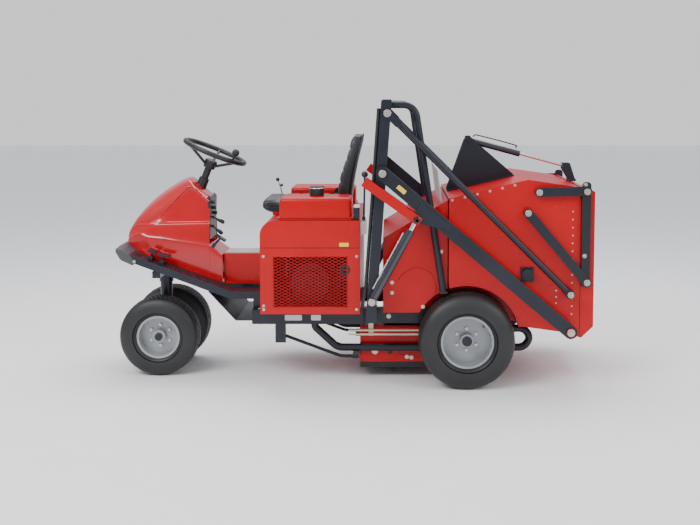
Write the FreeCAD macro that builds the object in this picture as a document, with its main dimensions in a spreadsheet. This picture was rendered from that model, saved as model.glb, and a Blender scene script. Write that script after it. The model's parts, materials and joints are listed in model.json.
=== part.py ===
import FreeCAD, Part
import math
import os
import Sketcher

# Ride-on turf sweeper with a high-dump hopper.  The frame: X runs from the nose (-X) to the
# hopper door (+X), Y across with the driver's left at -Y, Z up, origin on the ground below the
# middle of the machine.  Millimetres throughout.

VECTOR = FreeCAD.Vector
doc = FreeCAD.newDocument("ride_on_sweeper")

DIMENSIONS = {
    # wheels
    "wheelbase_front": -1220.0, "rear_axle_x": 702.0,
    "front_radius": 250.0, "front_width": 203.0, "front_track": 400.0, "front_rim_radius": 127.0,
    "rear_radius": 292.0, "rear_width": 267.0, "rear_track": 1000.0, "rear_rim_radius": 152.0,
    "tyre_wall": 13.0, "rim_sheet": 6.0, "flange_height": 15.0, "disc_thick": 8.0,
    "hub_radius": 40.0, "hub_half": 60.0, "wheel_bolt_radius": 64.0, "wheel_bolt": 8.0,
    "front_spindle": 15.0, "rear_spindle": 20.0, "running_gap": 0.05, "sheet_gap": 0.3,
    # chassis rails
    "rail_outer": 355.0, "rail_thick": 30.0, "rail_low": 357.0, "rail_high": 450.0,
    "rail_front": 60.0, "rail_rear": 935.0,
    "engine_rail_outer": 400.0, "engine_rail_low": 361.0, "engine_rail_front": -612.0,
    "engine_rail_rear": 75.0, "bay_floor": 448.0,
    # front end
    "nose": -1470.0, "beam_front": -1440.0, "beam_front_top": 800.0, "beam_knee": -746.0,
    "beam_top": 545.0, "beam_depth": 40.0, "beam_outer": 330.0, "beam_thick": 30.0,
    "post_radius": 25.0, "head_low": 560.0, "head_high": 690.0, "step_inner": 166.0,
    "step_thick": 4.0,
    "drive_pedal_x": -1178.0, "brake_pedal_x": -1248.0, "pedal_y": 250.0,
    "lift_pedal_x": -884.0, "lift_pedal_z": 814.4,
    "bumper_low": 755.0, "bumper_high": 820.0,
    "hood_half": 160.0, "hood_sheet": 4.0, "hood_rear": -826.0, "apex_x": -1040.0,
    "apex_z": 1250.0, "lever_x": -898.0, "tunnel_half": 120.0, "tunnel_top": 758.0,
    "column_radius": 23.0, "column_tilt": 22.5, "column_foot_x": -990.0,
    "column_foot_z": 1164.0, "column_length": 144.0, "wheel_reach": 258.0,
    "steering_radius": 213.0, "steering_grip": 16.0, "steering_dish": 70.0,
    # engine bay and seat
    "bay_front": -545.0, "bay_rear": 59.0, "bay_half": 520.0, "bay_top": 1017.0,
    "bay_corner": 90.0, "bay_sheet": 4.0, "mesh_front": -465.0, "mesh_low": 500.0,
    "mesh_pitch_x": 76.0, "mesh_pitch_z": 39.0, "mesh_open_x": 58.0, "mesh_open_z": 26.0,
    "tank_front": -431.0, "tank_rear": 10.0, "tank_low": 1038.0, "tank_high": 1154.0,
    "tank_inner": 250.0, "tank_outer": 505.0, "filler_x": -209.0, "filler_radius": 44.0,
    "seat_half": 235.0, "seat_front": -581.0, "cushion_low": 1066.0, "cushion_high": 1125.0,
    "cushion_rear": -128.0, "back_foot_x": -95.0, "back_foot_z": 1112.0, "back_top": 1528.0,
    # mast
    "mast_inner": 540.0, "mast_outer": 596.0, "mast_foot": 497.0, "mast_top": 1738.0,
    "mast_top_x": 218.0, "mast_foot_x": 128.0, "mast_half": 31.0, "mast_base_front": 98.0,
    "mast_base_rear": 160.0, "brace_y": 518.0, "brace_radius": 20.5, "brace_knee_x": 388.0,
    "brace_foot_x": 560.0, "brace_foot_z": 580.0,
    # chute, deck and brush
    "chute_front": 196.0, "chute_rear": 588.0, "chute_half": 480.0, "chute_front_top": 905.0,
    "chute_rear_top": 1138.0, "throat_half": 300.0, "throat_rear": 480.0, "throat_low": 352.0,
    "sheet": 3.0, "arch_radius": 325.0, "deck_front": 51.0, "deck_rear": 476.0,
    "deck_high": 330.0, "deck_low": 100.0, "skirt_low": 65.0, "brush_x": 240.0,
    "brush_z": 165.0, "brush_radius": 145.0, "brush_core": 55.0, "brush_shaft": 15.0,
    "drag_x": -437.0, "drag_z": 290.0, "drag_y": 358.0, "drag_pin": 9.0, "drag_radius": 10.0,
    "guard_y": 330.0, "guard_radius": 23.5, "guard_z": 200.0,
    # lift linkage pivots
    "tie_mast_x": 223.2, "tie_mast_z": 1661.6, "arm_mast_x": 194.2, "arm_mast_z": 1310.0,
    "tie_hopper_x": 1314.6, "tie_hopper_z": 581.4, "arm_hopper_x": 1310.6,
    "arm_hopper_z": 365.3, "cylinder_foot_x": 131.1, "cylinder_foot_z": 548.8,
    "cylinder_head_x": 395.5, "cylinder_head_z": 1038.4,
    "arm_inner": 614.0, "arm_outer": 650.0, "arm_depth": 80.0, "gusset": 8.0,
    "tie_y": 568.0, "tie_radius": 19.0, "fork_cheek": 6.0, "pivot_radius": 12.0, "eye_radius": 28.0,
    "barrel_radius": 25.5, "barrel_bore": 21.5, "barrel_start": 26.0, "barrel_end": 470.0,
    "rod_radius": 14.0, "valve_top": 1010.0, "piston_start": 110.0, "piston_length": 30.0, "gland": 15.0,
    "strut_depth": 52.0, "strut_length": 382.0, "strut_angle": 35.6, "strut_sheet": 4.0,
    "strut_inner": 600.0, "strut_outer": 664.0,
    # hopper and door
    "hopper_front": 593.0, "hopper_half": 505.0, "hopper_front_top": 1148.0,
    "hopper_apex_x": 1066.0, "hopper_apex_z": 1262.0, "hopper_rear": 1386.0,
    "hopper_rear_top": 1216.0, "hopper_low": 302.0, "hopper_front_low": 620.0,
    "hopper_sheet": 4.0, "door_rear": 1470.0, "door_low": 370.0, "door_gap": 2.0,
    "upper_pivot_x": 1130.0, "upper_pivot_z": 1188.8, "upper_door_x": 1415.8,
    "upper_door_z": 1197.6, "lower_pivot_x": 1064.7, "lower_pivot_z": 1064.8,
    "lower_door_x": 1421.1, "lower_door_z": 644.3, "link_inner": 535.0, "link_outer": 547.0,
    "link_width": 55.0, "bar_inner": 511.0, "bar_outer": 531.0, "bar_front": 1389.0,
    "bar_width": 52.0, "bar_low": 620.0, "bar_high": 1250.0,
    "door_ram_x": 742.9, "door_ram_z": 1479.7, "door_ram_end_x": 1371.2,
    "door_ram_end_z": 1310.0, "door_ram_radius": 20.0, "door_ram_bore": 16.0,
    "door_rod_radius": 9.0, "door_barrel": 345.0, "bracket_half": 42.0, "bracket_plate": 8.0,
}


class Size:
    """A length with its present value and the sheet expression that drives it."""

    def __init__(self, value, text):
        self.value = float(value)
        self.text = text

    def join(self, other, sign, value, flip=False):
        first, second = (text_of(other), self.text) if flip else (self.text, text_of(other))
        return Size(value, "(%s %s %s)" % (first, sign, second))

    def __add__(self, other):
        return self.join(other, "+", self.value + value_of(other))

    def __radd__(self, other):
        return self.join(other, "+", value_of(other) + self.value, True)

    def __sub__(self, other):
        return self.join(other, "-", self.value - value_of(other))

    def __rsub__(self, other):
        return self.join(other, "-", value_of(other) - self.value, True)

    def __mul__(self, other):
        return self.join(other, "*", self.value * value_of(other))

    def __rmul__(self, other):
        return self.join(other, "*", value_of(other) * self.value, True)

    def __truediv__(self, other):
        return self.join(other, "/", self.value / value_of(other))

    def __neg__(self):
        return Size(-self.value, "(0 - %s)" % self.text)


def value_of(size):
    return size.value if isinstance(size, Size) else float(size)


def text_of(size):
    return size.text if isinstance(size, Size) else "%.6g" % size


def root_of(size):
    return Size(math.sqrt(value_of(size)), "sqrt(%s)" % text_of(size))


def span(start, end):
    """The distance between two points of a side view."""
    run = end[0] - start[0]
    rise = end[1] - start[1]
    return root_of(run * run + rise * rise)


def part_way(start, end, distance):
    """The point at a distance from start on the line to end, in a side view."""
    share = Size(distance, text_of(distance)) / span(start, end)
    return (start[0] + (end[0] - start[0]) * share, start[1] + (end[1] - start[1]) * share)


class Sheet:
    """Reads a driving dimension by its alias."""

    def __getattr__(self, name):
        return Size(DIMENSIONS[name], "dims." + name)


d = Sheet()
table = doc.addObject("Spreadsheet::Sheet", "dims")
for row, (alias, amount) in enumerate(DIMENSIONS.items(), 1):
    table.set("A%d" % row, alias)
    table.set("B%d" % row, str(amount))
    table.setAlias("B%d" % row, alias)
doc.recompute()


# ---- helpers -------------------------------------------------------------------------------

def bind(thing, path, size):
    thing.setExpression(path, text_of(size))


def new_sketch(body, role, offset=0):
    plane = [item for item in body.Origin.OriginFeatures if item.Role == role][0]
    sketch = body.newObject("Sketcher::SketchObject", body.Name + "_outline")
    sketch.AttachmentSupport = [(plane, "")]
    sketch.MapMode = "FlatFace"
    bind(sketch, "AttachmentOffset.Base.z", offset)
    return sketch


def pin_down(sketch, geometry, vertex, point):
    for kind, size in zip(("DistanceX", "DistanceY"), point):
        rule = Sketcher.Constraint(kind, -1, 1, geometry, vertex, value_of(size))
        bind(sketch, "Constraints[%d]" % sketch.addConstraint(rule), size)


def polygon(sketch, points):
    first = sketch.GeometryCount
    count = len(points)
    flat = [VECTOR(value_of(x), value_of(y), 0) for x, y in points]
    for index in range(count):
        sketch.addGeometry(Part.LineSegment(flat[index], flat[(index + 1) % count]), False)
    for index in range(count):
        after = first + (index + 1) % count
        sketch.addConstraint(Sketcher.Constraint("Coincident", first + index, 2, after, 1))
        pin_down(sketch, first + index, 1, points[index])


def circle(sketch, centre, radius):
    middle = VECTOR(value_of(centre[0]), value_of(centre[1]), 0)
    ring = sketch.addGeometry(Part.Circle(middle, VECTOR(0, 0, 1), value_of(radius)), False)
    pin_down(sketch, ring, 3, centre)
    rule = Sketcher.Constraint("Radius", ring, value_of(radius))
    bind(sketch, "Constraints[%d]" % sketch.addConstraint(rule), radius)


def round_off(body, feature, corners, flat_axes):
    """Fillets the edges that run through the padded outline's named corners."""
    for point, radius in corners:
        doc.recompute()
        names = []
        for number, edge in enumerate(feature.Shape.Edges, 1):
            ends = [vertex.Point for vertex in edge.Vertexes]
            near = [abs(end[axis] - value_of(size)) < 0.01
                    for end in ends for axis, size in zip(flat_axes, point)]
            if len(ends) == 2 and all(near):
                names.append("Edge%d" % number)
        fillet = body.newObject("PartDesign::Fillet", body.Name + "_round")
        fillet.Base = (feature, names)
        bind(fillet, "Radius", radius)
        feature = fillet
    return feature


VIEWS = {"side": ("XZ_Plane", (0, 2)), "plan": ("XY_Plane", (0, 1)), "front": ("YZ_Plane", (1, 2))}


def slab(name, view, points, low, high, holes=(), corners=()):
    """An outline in the side, plan or front view, padded from low to high across it."""
    role, flat_axes = VIEWS[view]
    body = doc.addObject("PartDesign::Body", name)
    sketch = new_sketch(body, role, -high if view == "side" else low)
    polygon(sketch, points)
    for centre, radius in holes:
        circle(sketch, centre, radius)
    pad = body.newObject("PartDesign::Pad", name + "_pad")
    pad.Profile = sketch
    bind(pad, "Length", high - low)
    round_off(body, pad, corners, flat_axes)
    return body


def disc(name, centre, radius, low, high):
    """A round piece whose axis runs across the machine."""
    piece = doc.addObject("Part::Cylinder", name)
    bind(piece, "Radius", radius)
    bind(piece, "Height", high - low)
    piece.Placement = FreeCAD.Placement(VECTOR(), FreeCAD.Rotation(VECTOR(1, 0, 0), -90))
    bind(piece, "Placement.Base.x", centre[0])
    bind(piece, "Placement.Base.y", low)
    bind(piece, "Placement.Base.z", centre[1])
    return piece


def block(name, x_low, x_high, y_low, y_high, z_low, z_high):
    piece = doc.addObject("Part::Box", name)
    bind(piece, "Length", x_high - x_low)
    bind(piece, "Width", y_high - y_low)
    bind(piece, "Height", z_high - z_low)
    bind(piece, "Placement.Base.x", x_low)
    bind(piece, "Placement.Base.y", y_low)
    bind(piece, "Placement.Base.z", z_low)
    return piece


def upright(name, x, y, radius, low, high):
    piece = doc.addObject("Part::Cylinder", name)
    bind(piece, "Radius", radius)
    bind(piece, "Height", high - low)
    bind(piece, "Placement.Base.x", x)
    bind(piece, "Placement.Base.y", y)
    bind(piece, "Placement.Base.z", low)
    return piece


def aim(piece, start, end, across=0):
    """Turns a piece drawn along its own X axis so that it runs from start towards end."""
    run = end[0] - start[0]
    rise = end[1] - start[1]
    turn = math.degrees(math.atan2(value_of(rise), value_of(run)))
    piece.Placement = FreeCAD.Placement(VECTOR(), FreeCAD.Rotation(VECTOR(0, -1, 0), turn))
    bind(piece, "Placement.Rotation.Angle", Size(turn, "atan2(%s; %s)" % (text_of(rise), text_of(run))))
    bind(piece, "Placement.Base.x", start[0])
    bind(piece, "Placement.Base.y", across)
    bind(piece, "Placement.Base.z", start[1])
    return piece


def link(name, start, end, width, low, high, bore):
    """A flat bar with round ends and a hole at each pivot, drawn along its own X axis."""
    body = doc.addObject("PartDesign::Body", name)
    sketch = new_sketch(body, "XZ_Plane", -high)
    length = span(start, end)
    half = width / 2
    reach, side = value_of(length), value_of(half)
    top = sketch.addGeometry(Part.LineSegment(VECTOR(0, side, 0), VECTOR(reach, side, 0)), False)
    low_line = Part.LineSegment(VECTOR(reach, -side, 0), VECTOR(0, -side, 0))
    bottom = sketch.addGeometry(low_line, False)
    turns = ((VECTOR(0, 0, 0), 90, 270), (VECTOR(reach, 0, 0), -90, 90))
    rounds = []
    for centre, first, last in turns:
        ring = Part.Circle(centre, VECTOR(0, 0, 1), side)
        arc = Part.ArcOfCircle(ring, math.radians(first), math.radians(last))
        rounds.append(sketch.addGeometry(arc, False))
    joints = ((top, 1, rounds[0], 1), (bottom, 2, rounds[0], 2),
              (bottom, 1, rounds[1], 1), (top, 2, rounds[1], 2))
    for joint in joints:
        sketch.addConstraint(Sketcher.Constraint("Coincident", *joint))
    pin_down(sketch, top, 1, (0, half))
    pin_down(sketch, top, 2, (length, half))
    pin_down(sketch, bottom, 1, (length, -half))
    pin_down(sketch, bottom, 2, (0, -half))
    for arc, place in zip(rounds, (0, length)):
        rule = Sketcher.Constraint("DistanceX", -1, 1, arc, 3, value_of(place))
        bind(sketch, "Constraints[%d]" % sketch.addConstraint(rule), place)
        if value_of(bore):
            circle(sketch, (place, 0), bore)
    pad = body.newObject("PartDesign::Pad", name + "_pad")
    pad.Profile = sketch
    bind(pad, "Length", high - low)
    return aim(body, start, end)


def along(name, start, end, across, radius, first, last, bore=0, bore_end=None):
    """A round bar or tube on the line from start to end, between two distances along it."""
    body = doc.addObject("PartDesign::Body", name)
    sketch = new_sketch(body, "XZ_Plane")
    if value_of(bore):
        closed = last if bore_end is None else bore_end
        outline = [(first, bore), (first, radius), (last, radius), (last, bore)]
        if bore_end is not None:
            outline = [(first, 0), (first, radius), (last, radius), (last, bore),
                       (closed, bore), (closed, 0)]
        polygon(sketch, outline)
    else:
        polygon(sketch, [(first, 0), (first, radius), (last, radius), (last, 0)])
    whole_turn = body.newObject("PartDesign::Revolution", name + "_turn")
    whole_turn.Profile = sketch
    whole_turn.ReferenceAxis = (sketch, ["H_Axis"])
    whole_turn.Angle = 360
    return aim(body, start, end, across)


def spun(name, profile, x, y, z):
    """A profile of radius and offset spun about an axis that runs across the machine."""
    body = doc.addObject("PartDesign::Body", name)
    sketch = new_sketch(body, "XY_Plane")
    polygon(sketch, profile)
    whole_turn = body.newObject("PartDesign::Revolution", name + "_turn")
    whole_turn.Profile = sketch
    whole_turn.ReferenceAxis = (sketch, ["V_Axis"])
    whole_turn.Angle = 360
    bind(body, "Placement.Base.x", x)
    bind(body, "Placement.Base.y", y)
    bind(body, "Placement.Base.z", z)
    return body


def mirrored(piece):
    other = doc.addObject("Part::Mirroring", piece.Name + "_far")
    other.Source = piece
    other.Normal = VECTOR(0, 1, 0)
    return other


def both(pieces):
    return [item for piece in pieces for item in (piece, mirrored(piece))]


def fused(name, pieces):
    joined = doc.addObject("Part::MultiFuse", name)
    joined.Shapes = pieces
    return joined


def cut(name, base, tool):
    result = doc.addObject("Part::Cut", name)
    result.Base = base
    result.Tool = tool
    return result


def group(name, pieces):
    gathered = doc.addObject("Part::Compound", name)
    gathered.Links = pieces
    return gathered


def round_path(points, radius):
    """A wire of straight runs joined by tangent arcs."""
    edges = []
    start = points[0]
    for before, corner, after in zip(points, points[1:], points[2:]):
        inward = (before - corner).normalize()
        outward = (after - corner).normalize()
        half_turn = (math.pi - inward.getAngle(outward)) / 2
        room = 0.45 * min((before - corner).Length, (after - corner).Length)
        set_back = min(radius * math.tan(half_turn), room)
        bend = set_back / math.tan(half_turn)
        first = corner + inward * set_back
        last = corner + outward * set_back
        bisector = (inward + outward).normalize()
        middle = corner + bisector * (bend / math.cos(half_turn) - bend)
        edges.append(Part.LineSegment(start, first).toShape())
        edges.append(Part.Arc(first, middle, last).toShape())
        start = last
    edges.append(Part.LineSegment(start, points[-1]).toShape())
    return Part.Wire(edges)


def bent_tube(name, points, radius, bend):
    """A round tube swept along straight runs and tangent arcs."""
    corners = [VECTOR(*[value_of(size) for size in point]) for point in points]
    wire = round_path(corners, value_of(bend))
    ring = Part.Circle(corners[0], corners[1] - corners[0], value_of(radius))
    tube = doc.addObject("Part::Feature", name)
    tube.Shape = wire.makePipeShell([Part.Wire([ring.toShape()])], True, False)
    return tube


finished = []


def keep(piece, label=None):
    """Names a finished sub-part; the name is also its file's name."""
    piece.Label = label or piece.Name
    finished.append(piece)
    return piece


# ---- wheels --------------------------------------------------------------------------------

def tyre_profile(bead, outer, half, wall):
    """A hollow tyre section: over the outside from bead to bead, then back along the inside."""
    shoulder = outer - 30
    middle = (bead + outer) / 2
    seat = half * 0.72
    lip = bead + d.flange_height + 3
    outside = [(bead, seat), (lip, seat), (lip + 14, half * 0.93), (middle, half),
               (shoulder, half - 4), (outer, half - 34)]
    inside = [(outer - wall, half - 40), (shoulder - wall, half - wall - 6), (middle, half - wall),
              (lip + 14, half * 0.93 - wall), (lip, seat - wall), (bead, seat - wall)]
    far_outside = [(radius, -offset) for radius, offset in outside]
    far_inside = [(radius, -offset) for radius, offset in inside]
    return outside + far_outside[::-1] + far_inside[::-1] + inside


def make_wheel(label, x, y, z, rim, outer, half, spindle):
    """Tyre, and rim with hub and disc, turned about the axle, with its loose ring of wheel bolts."""
    bead = half * 0.72
    tyre = spun(label + "_tyre", tyre_profile(rim + d.sheet_gap, outer, half, d.tyre_wall), x, y, z)
    keep(tyre)
    inner = rim - d.rim_sheet
    edge = bead + d.sheet_gap
    lip = edge + 5
    hub = d.hub_half
    bore = spindle + d.running_gap
    web = d.disc_thick / 2
    section = [(bore, -hub), (d.hub_radius, -hub), (d.hub_radius, -web), (inner, -web),
               (inner, -lip), (rim + d.flange_height, -lip), (rim + d.flange_height, -edge),
               (rim, -edge), (rim, edge), (rim + d.flange_height, edge),
               (rim + d.flange_height, lip), (inner, lip), (inner, web), (d.hub_radius, web),
               (d.hub_radius, hub), (bore, hub)]
    dish = spun(label + "_rim_dish", section, x, y, z)
    bolts = []
    for number in range(6):
        angle = math.radians(60 * number + 30)
        for side in (-1, 1):
            low = y + side * (web + 3) - 3
            place = (x + d.wheel_bolt_radius * math.cos(angle), z + d.wheel_bolt_radius * math.sin(angle))
            bolts.append(disc("%s_bolt_%d_%d" % (label, number, side + 1), place, d.wheel_bolt, low, low + 6))
    keep(group(label + "_rim", [dish] + bolts))


for side, label in ((-1, "left"), (1, "right")):
    make_wheel("front_" + label, d.wheelbase_front, side * d.front_track / 2, d.front_radius,
               d.front_rim_radius, d.front_radius, d.front_width / 2, d.front_spindle)
    make_wheel("rear_" + label, d.rear_axle_x, side * d.rear_track / 2, d.rear_radius,
               d.rear_rim_radius, d.rear_radius, d.rear_width / 2, d.rear_spindle)


# ---- chassis -------------------------------------------------------------------------------

def make_chassis_rails():
    """Rear rails, engine rails and their cross-members, welded into one ladder."""
    inner = d.rail_outer - d.rail_thick
    engine_inner = d.engine_rail_outer - d.rail_thick
    pieces = [block("rear_rail", d.rail_front, d.rail_rear, inner, d.rail_outer, d.rail_low, d.rail_high),
              block("engine_rail", d.engine_rail_front, d.engine_rail_rear, engine_inner,
                    d.engine_rail_outer, d.engine_rail_low, d.bay_floor),
              block("mast_outrigger", d.mast_base_front, d.mast_base_rear, inner, d.mast_outer,
                    d.rail_high - 40, d.mast_foot),
              block("drag_bracket", d.drag_x - 32, d.drag_x + 32, engine_inner,
                    d.engine_rail_outer, 245, d.engine_rail_low),
              disc("drag_pin", (d.drag_x, d.drag_z), d.drag_pin, d.drag_y - 16, d.engine_rail_outer + 8),
              block("rear_bracket", d.rail_rear - 12, d.rail_rear, inner - 20, d.rail_outer,
                    300, d.rail_high)]
    crossing = [block("front_cross", d.engine_rail_front, d.engine_rail_front + 32,
                      -d.engine_rail_outer, d.engine_rail_outer, d.engine_rail_low, d.bay_floor),
                block("bay_cross", -250, -210, -d.engine_rail_outer, d.engine_rail_outer,
                      d.engine_rail_low, d.bay_floor),
                block("middle_cross", d.rail_front - 12, d.engine_rail_rear, -d.engine_rail_outer,
                      d.engine_rail_outer, d.engine_rail_low, d.rail_high - 2),
                block("rear_cross", d.rail_rear - 40, d.rail_rear, -d.rail_outer, d.rail_outer,
                      d.rail_low, d.rail_high)]
    keep(fused("chassis_rails", both(pieces) + crossing))


def make_rear_axle():
    """Axle tube with turned-down spindles, hung under the rails on two saddles."""
    tube = disc("axle_tube", (d.rear_axle_x, d.rear_radius), 35, -d.rail_outer, d.rail_outer)
    end = d.rear_track / 2 + d.hub_half + 12
    spindle = disc("axle_spindle", (d.rear_axle_x, d.rear_radius), d.rear_spindle, -end, end)
    saddle = block("axle_saddle", d.rear_axle_x - 45, d.rear_axle_x + 45, d.rail_outer - d.rail_thick,
                   d.rail_outer, d.rear_radius, d.rail_low)
    collar = disc("axle_collar", (d.rear_axle_x, d.rear_radius), 30, d.rail_outer,
                  d.rear_track / 2 - d.hub_half - d.sheet_gap)
    nut = disc("axle_nut", (d.rear_axle_x, d.rear_radius), 30, d.rear_track / 2 + d.hub_half + d.sheet_gap, end)
    keep(fused("rear_axle", [tube, spindle] + both([saddle, collar, nut])))


def beam_height(x):
    """Height of the sloping step beam's top at a station along the machine."""
    slope = (d.beam_front_top - d.beam_top) / (d.beam_knee - d.beam_front)
    return d.beam_front_top - (x - d.beam_front) * slope


def make_front_frame():
    """Sloping step beams, steering head, cross-bars, belly pan and the legs to the rails."""
    outline = [(d.beam_front, d.beam_front_top), (d.beam_knee, d.beam_top),
               (d.bay_front, d.beam_top), (d.bay_front, d.beam_top - d.beam_depth),
               (d.beam_knee - 9, d.beam_top - d.beam_depth),
               (d.beam_front, d.beam_front_top - d.beam_depth)]
    inner = d.beam_outer - d.beam_thick
    beam = slab("step_beam", "side", outline, inner, d.beam_outer)
    leg = block("beam_leg", d.engine_rail_front, d.bay_front, inner, d.beam_outer,
                d.bay_floor, d.beam_top)
    head_x = d.wheelbase_front
    bar_top = beam_height(head_x)
    head_bar = block("head_bar", head_x - 25, head_x + 25, -inner, inner, bar_top - 90, bar_top - 50)
    head = upright("head_tube", head_x, 0, d.post_radius + 20, d.head_low, d.head_high)
    bore = upright("head_bore", head_x, 0, d.post_radius + d.running_gap, d.head_low - 5, d.head_high + 5)
    floor_bar = block("floor_bar", -705, -660, -inner, inner, d.beam_top - d.beam_depth, d.beam_top)
    pan = [(-892, d.beam_top - 5), (-727, 361), (d.engine_rail_front, 361),
           (d.engine_rail_front, 365), (-725, 365), (-886, d.beam_top - 5)]
    belly = slab("belly_pan", "side", pan, -inner, inner)
    pan_bar = block("pan_bar", -895, -860, -inner, inner, d.beam_top - 5, d.beam_top + 20)
    whole = fused("front_weldment", both([beam, leg]) + [head_bar, head, floor_bar, belly, pan_bar])
    keep(cut("front_frame", whole, bore))


def make_bumper_and_steps():
    bar = [(d.beam_front, -d.beam_outer), (d.beam_front, d.beam_outer),
           (d.nose, d.beam_outer - 110), (d.nose, -d.beam_outer + 110)]
    keep(slab("front_bumper", "plan", bar, d.bumper_low, d.bumper_high))
    plate = [(d.beam_front, d.beam_front_top), (d.beam_knee, d.beam_top), (d.bay_front, d.beam_top),
             (d.bay_front, d.beam_top + d.step_thick), (d.beam_knee, d.beam_top + d.step_thick),
             (d.beam_front, d.beam_front_top + d.step_thick)]
    step = slab("step", "side", plate, d.step_inner, d.beam_outer)
    slots = []
    for row in range(9):
        for lane in range(3):
            x = d.beam_front + 90 + row * 62
            y = d.step_inner + 38 + lane * 36
            slots.append(block("slot_%d_%d" % (row, lane), x, x + 34, y, y + 14,
                               beam_height(x) - 60, beam_height(x) + 40))
    ears = [block("%s_ear_%d" % (name, side + 1), x - 22, x + 2, -d.pedal_y + side * 33 - 5,
                  -d.pedal_y + side * 33 + 5, beam_height(x) + d.step_thick - 3, beam_height(x) + 34)
            for name, x in (("drive", d.drive_pedal_x), ("brake", d.brake_pedal_x))
            for side in (-1, 1)]
    slotted = both([cut("slotted_step", step, fused("step_slots", slots))])
    keep(fused("step_plates", slotted + ears))


def make_hood():
    """The tall nose cover: a sheet shell, open below, with the column's hole in its rear slope."""
    side = [(d.nose + 22, 828), (d.nose + 22, 893), (-1396, 981), (-1302, 1083), (-1178, 1178),
            (d.apex_x, d.apex_z), (-921, 1139), (-928, 828), (d.hood_rear, 762), (d.hood_rear, 596),
            (-1163, 716), (-1340, 784)]
    outer = slab("hood_outer", "side", side, -d.hood_half, d.hood_half)
    skin = d.hood_sheet
    inside = [(d.nose + 26, 829), (d.nose + 26, 892), (-1393, 978), (-1299, 1079), (-1176, 1174),
              (d.apex_x, d.apex_z - 5), (-925, 1137), (-932, 826), (d.hood_rear - skin, 759.5),
              (d.hood_rear - skin, 560), (-1163, 680), (-1340, 760)]
    inner = slab("hood_inner", "side", inside, skin - d.hood_half, d.hood_half - skin)
    shell = cut("hood_shell", outer, inner)
    foot = (d.column_foot_x, d.column_foot_z)
    lean = math.radians(90 - value_of(d.column_tilt))
    tip = (foot[0] + 100 * math.cos(lean), foot[1] + 100 * math.sin(lean))
    hole = along("column_hole", foot, tip, 0, d.column_radius + 1, -80, 160)
    keep(cut("front_hood", shell, hole))
    return foot, tip


def make_column(foot, tip):
    """Steering column tube; the wheel's shaft turns inside it."""
    bore = 12 + d.running_gap
    return along("steering_column", foot, tip, 0, d.column_radius, -60, d.column_length, bore, 40)


def make_steering_wheel(foot, tip):
    """Shaft, hub, three dished spokes and a round grip on the column's axis."""
    top = d.column_length
    shaft = along("wheel_shaft", foot, tip, 0, 12, 60, top + 30)
    hub = along("wheel_hub", foot, tip, 0, 38, top + 3, top + 40)
    grip = doc.addObject("Part::Torus", "wheel_grip")
    bind(grip, "Radius1", d.steering_radius - d.steering_grip)
    bind(grip, "Radius2", d.steering_grip)
    run, rise = value_of(tip[0] - foot[0]), value_of(tip[1] - foot[1])
    axis = VECTOR(run, 0, rise).normalize()
    base = VECTOR(value_of(foot[0]), 0, value_of(foot[1])) + axis * value_of(d.wheel_reach)
    grip.Placement = FreeCAD.Placement(base, FreeCAD.Rotation(VECTOR(0, 0, 1), axis))
    spokes = []
    centre = VECTOR(value_of(foot[0]), 0, value_of(foot[1])) + axis * value_of(top + 22)
    rim = value_of(d.steering_radius - d.steering_grip)
    for turn in (90, 210, 330):
        outward = FreeCAD.Rotation(VECTOR(0, 0, 1), axis).multVec(
            VECTOR(math.cos(math.radians(turn)), math.sin(math.radians(turn)), 0))
        reach = base + outward * (rim - 4)
        start = centre + outward * 30
        spoke = doc.addObject("Part::Cylinder", "wheel_spoke_%d" % turn)
        spoke.Radius = 9
        spoke.Height = (reach - start).Length
        spoke.Placement = FreeCAD.Placement(start, FreeCAD.Rotation(VECTOR(0, 0, 1), reach - start))
        spokes.append(spoke)
    keep(fused("steering_wheel", [shaft, hub, grip] + spokes))
    outward = FreeCAD.Rotation(VECTOR(0, 0, 1), axis).multVec(VECTOR(math.cos(math.radians(-44)),
                                                                    math.sin(math.radians(-44)), 0))
    seat = base + outward * rim + axis * (value_of(d.steering_grip) + 0.5)
    stem = doc.addObject("Part::Cylinder", "spinner_stem")
    stem.Radius = 7
    stem.Height = 26
    stem.Placement = FreeCAD.Placement(seat, FreeCAD.Rotation(VECTOR(0, 0, 1), axis))
    ball = doc.addObject("Part::Sphere", "spinner_ball")
    ball.Radius = 23
    ball.Placement = FreeCAD.Placement(seat + axis * 44, FreeCAD.Rotation())
    keep(fused("spinner_knob", [stem, ball]))
    return seat, axis


def make_dash(column):
    """Instrument panel on the hood's rear face, with knobs and column, and its two hand levers."""
    panel = slab("dash_plate", "side", [(-920, 1128), (-904, 1112), (-911, 850), (-927, 838)],
                 -120, 120)
    knobs = [doc.addObject("Part::Cylinder", "dash_knob_%d" % number) for number in range(3)]
    for number, knob in enumerate(knobs):
        knob.Radius = 11
        knob.Height = 26
        knob.Placement = FreeCAD.Placement(VECTOR(-907 - number, -85 + number * 40, 1085 - number * 38),
                                           FreeCAD.Rotation(VECTOR(0, 1, 0), 90))
    keep(group("dash_panel", [fused("dash_unit", [panel] + knobs), column]))
    for name, across, pivot, end in (("throttle_lever", -58, (d.lever_x, 985), (-850, 962)),
                                     ("brush_lever", -80, (d.lever_x - 1.4, 930), (-837, 880))):
        stalk = along(name + "_stalk", pivot, end, across, 5, 0, 55)
        knob = along(name + "_knob", pivot, end, across, 12, 50, 74)
        boss = disc(name + "_boss", pivot, 9, across - 9, across + 9)
        keep(fused(name, [stalk, knob, boss]))


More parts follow.
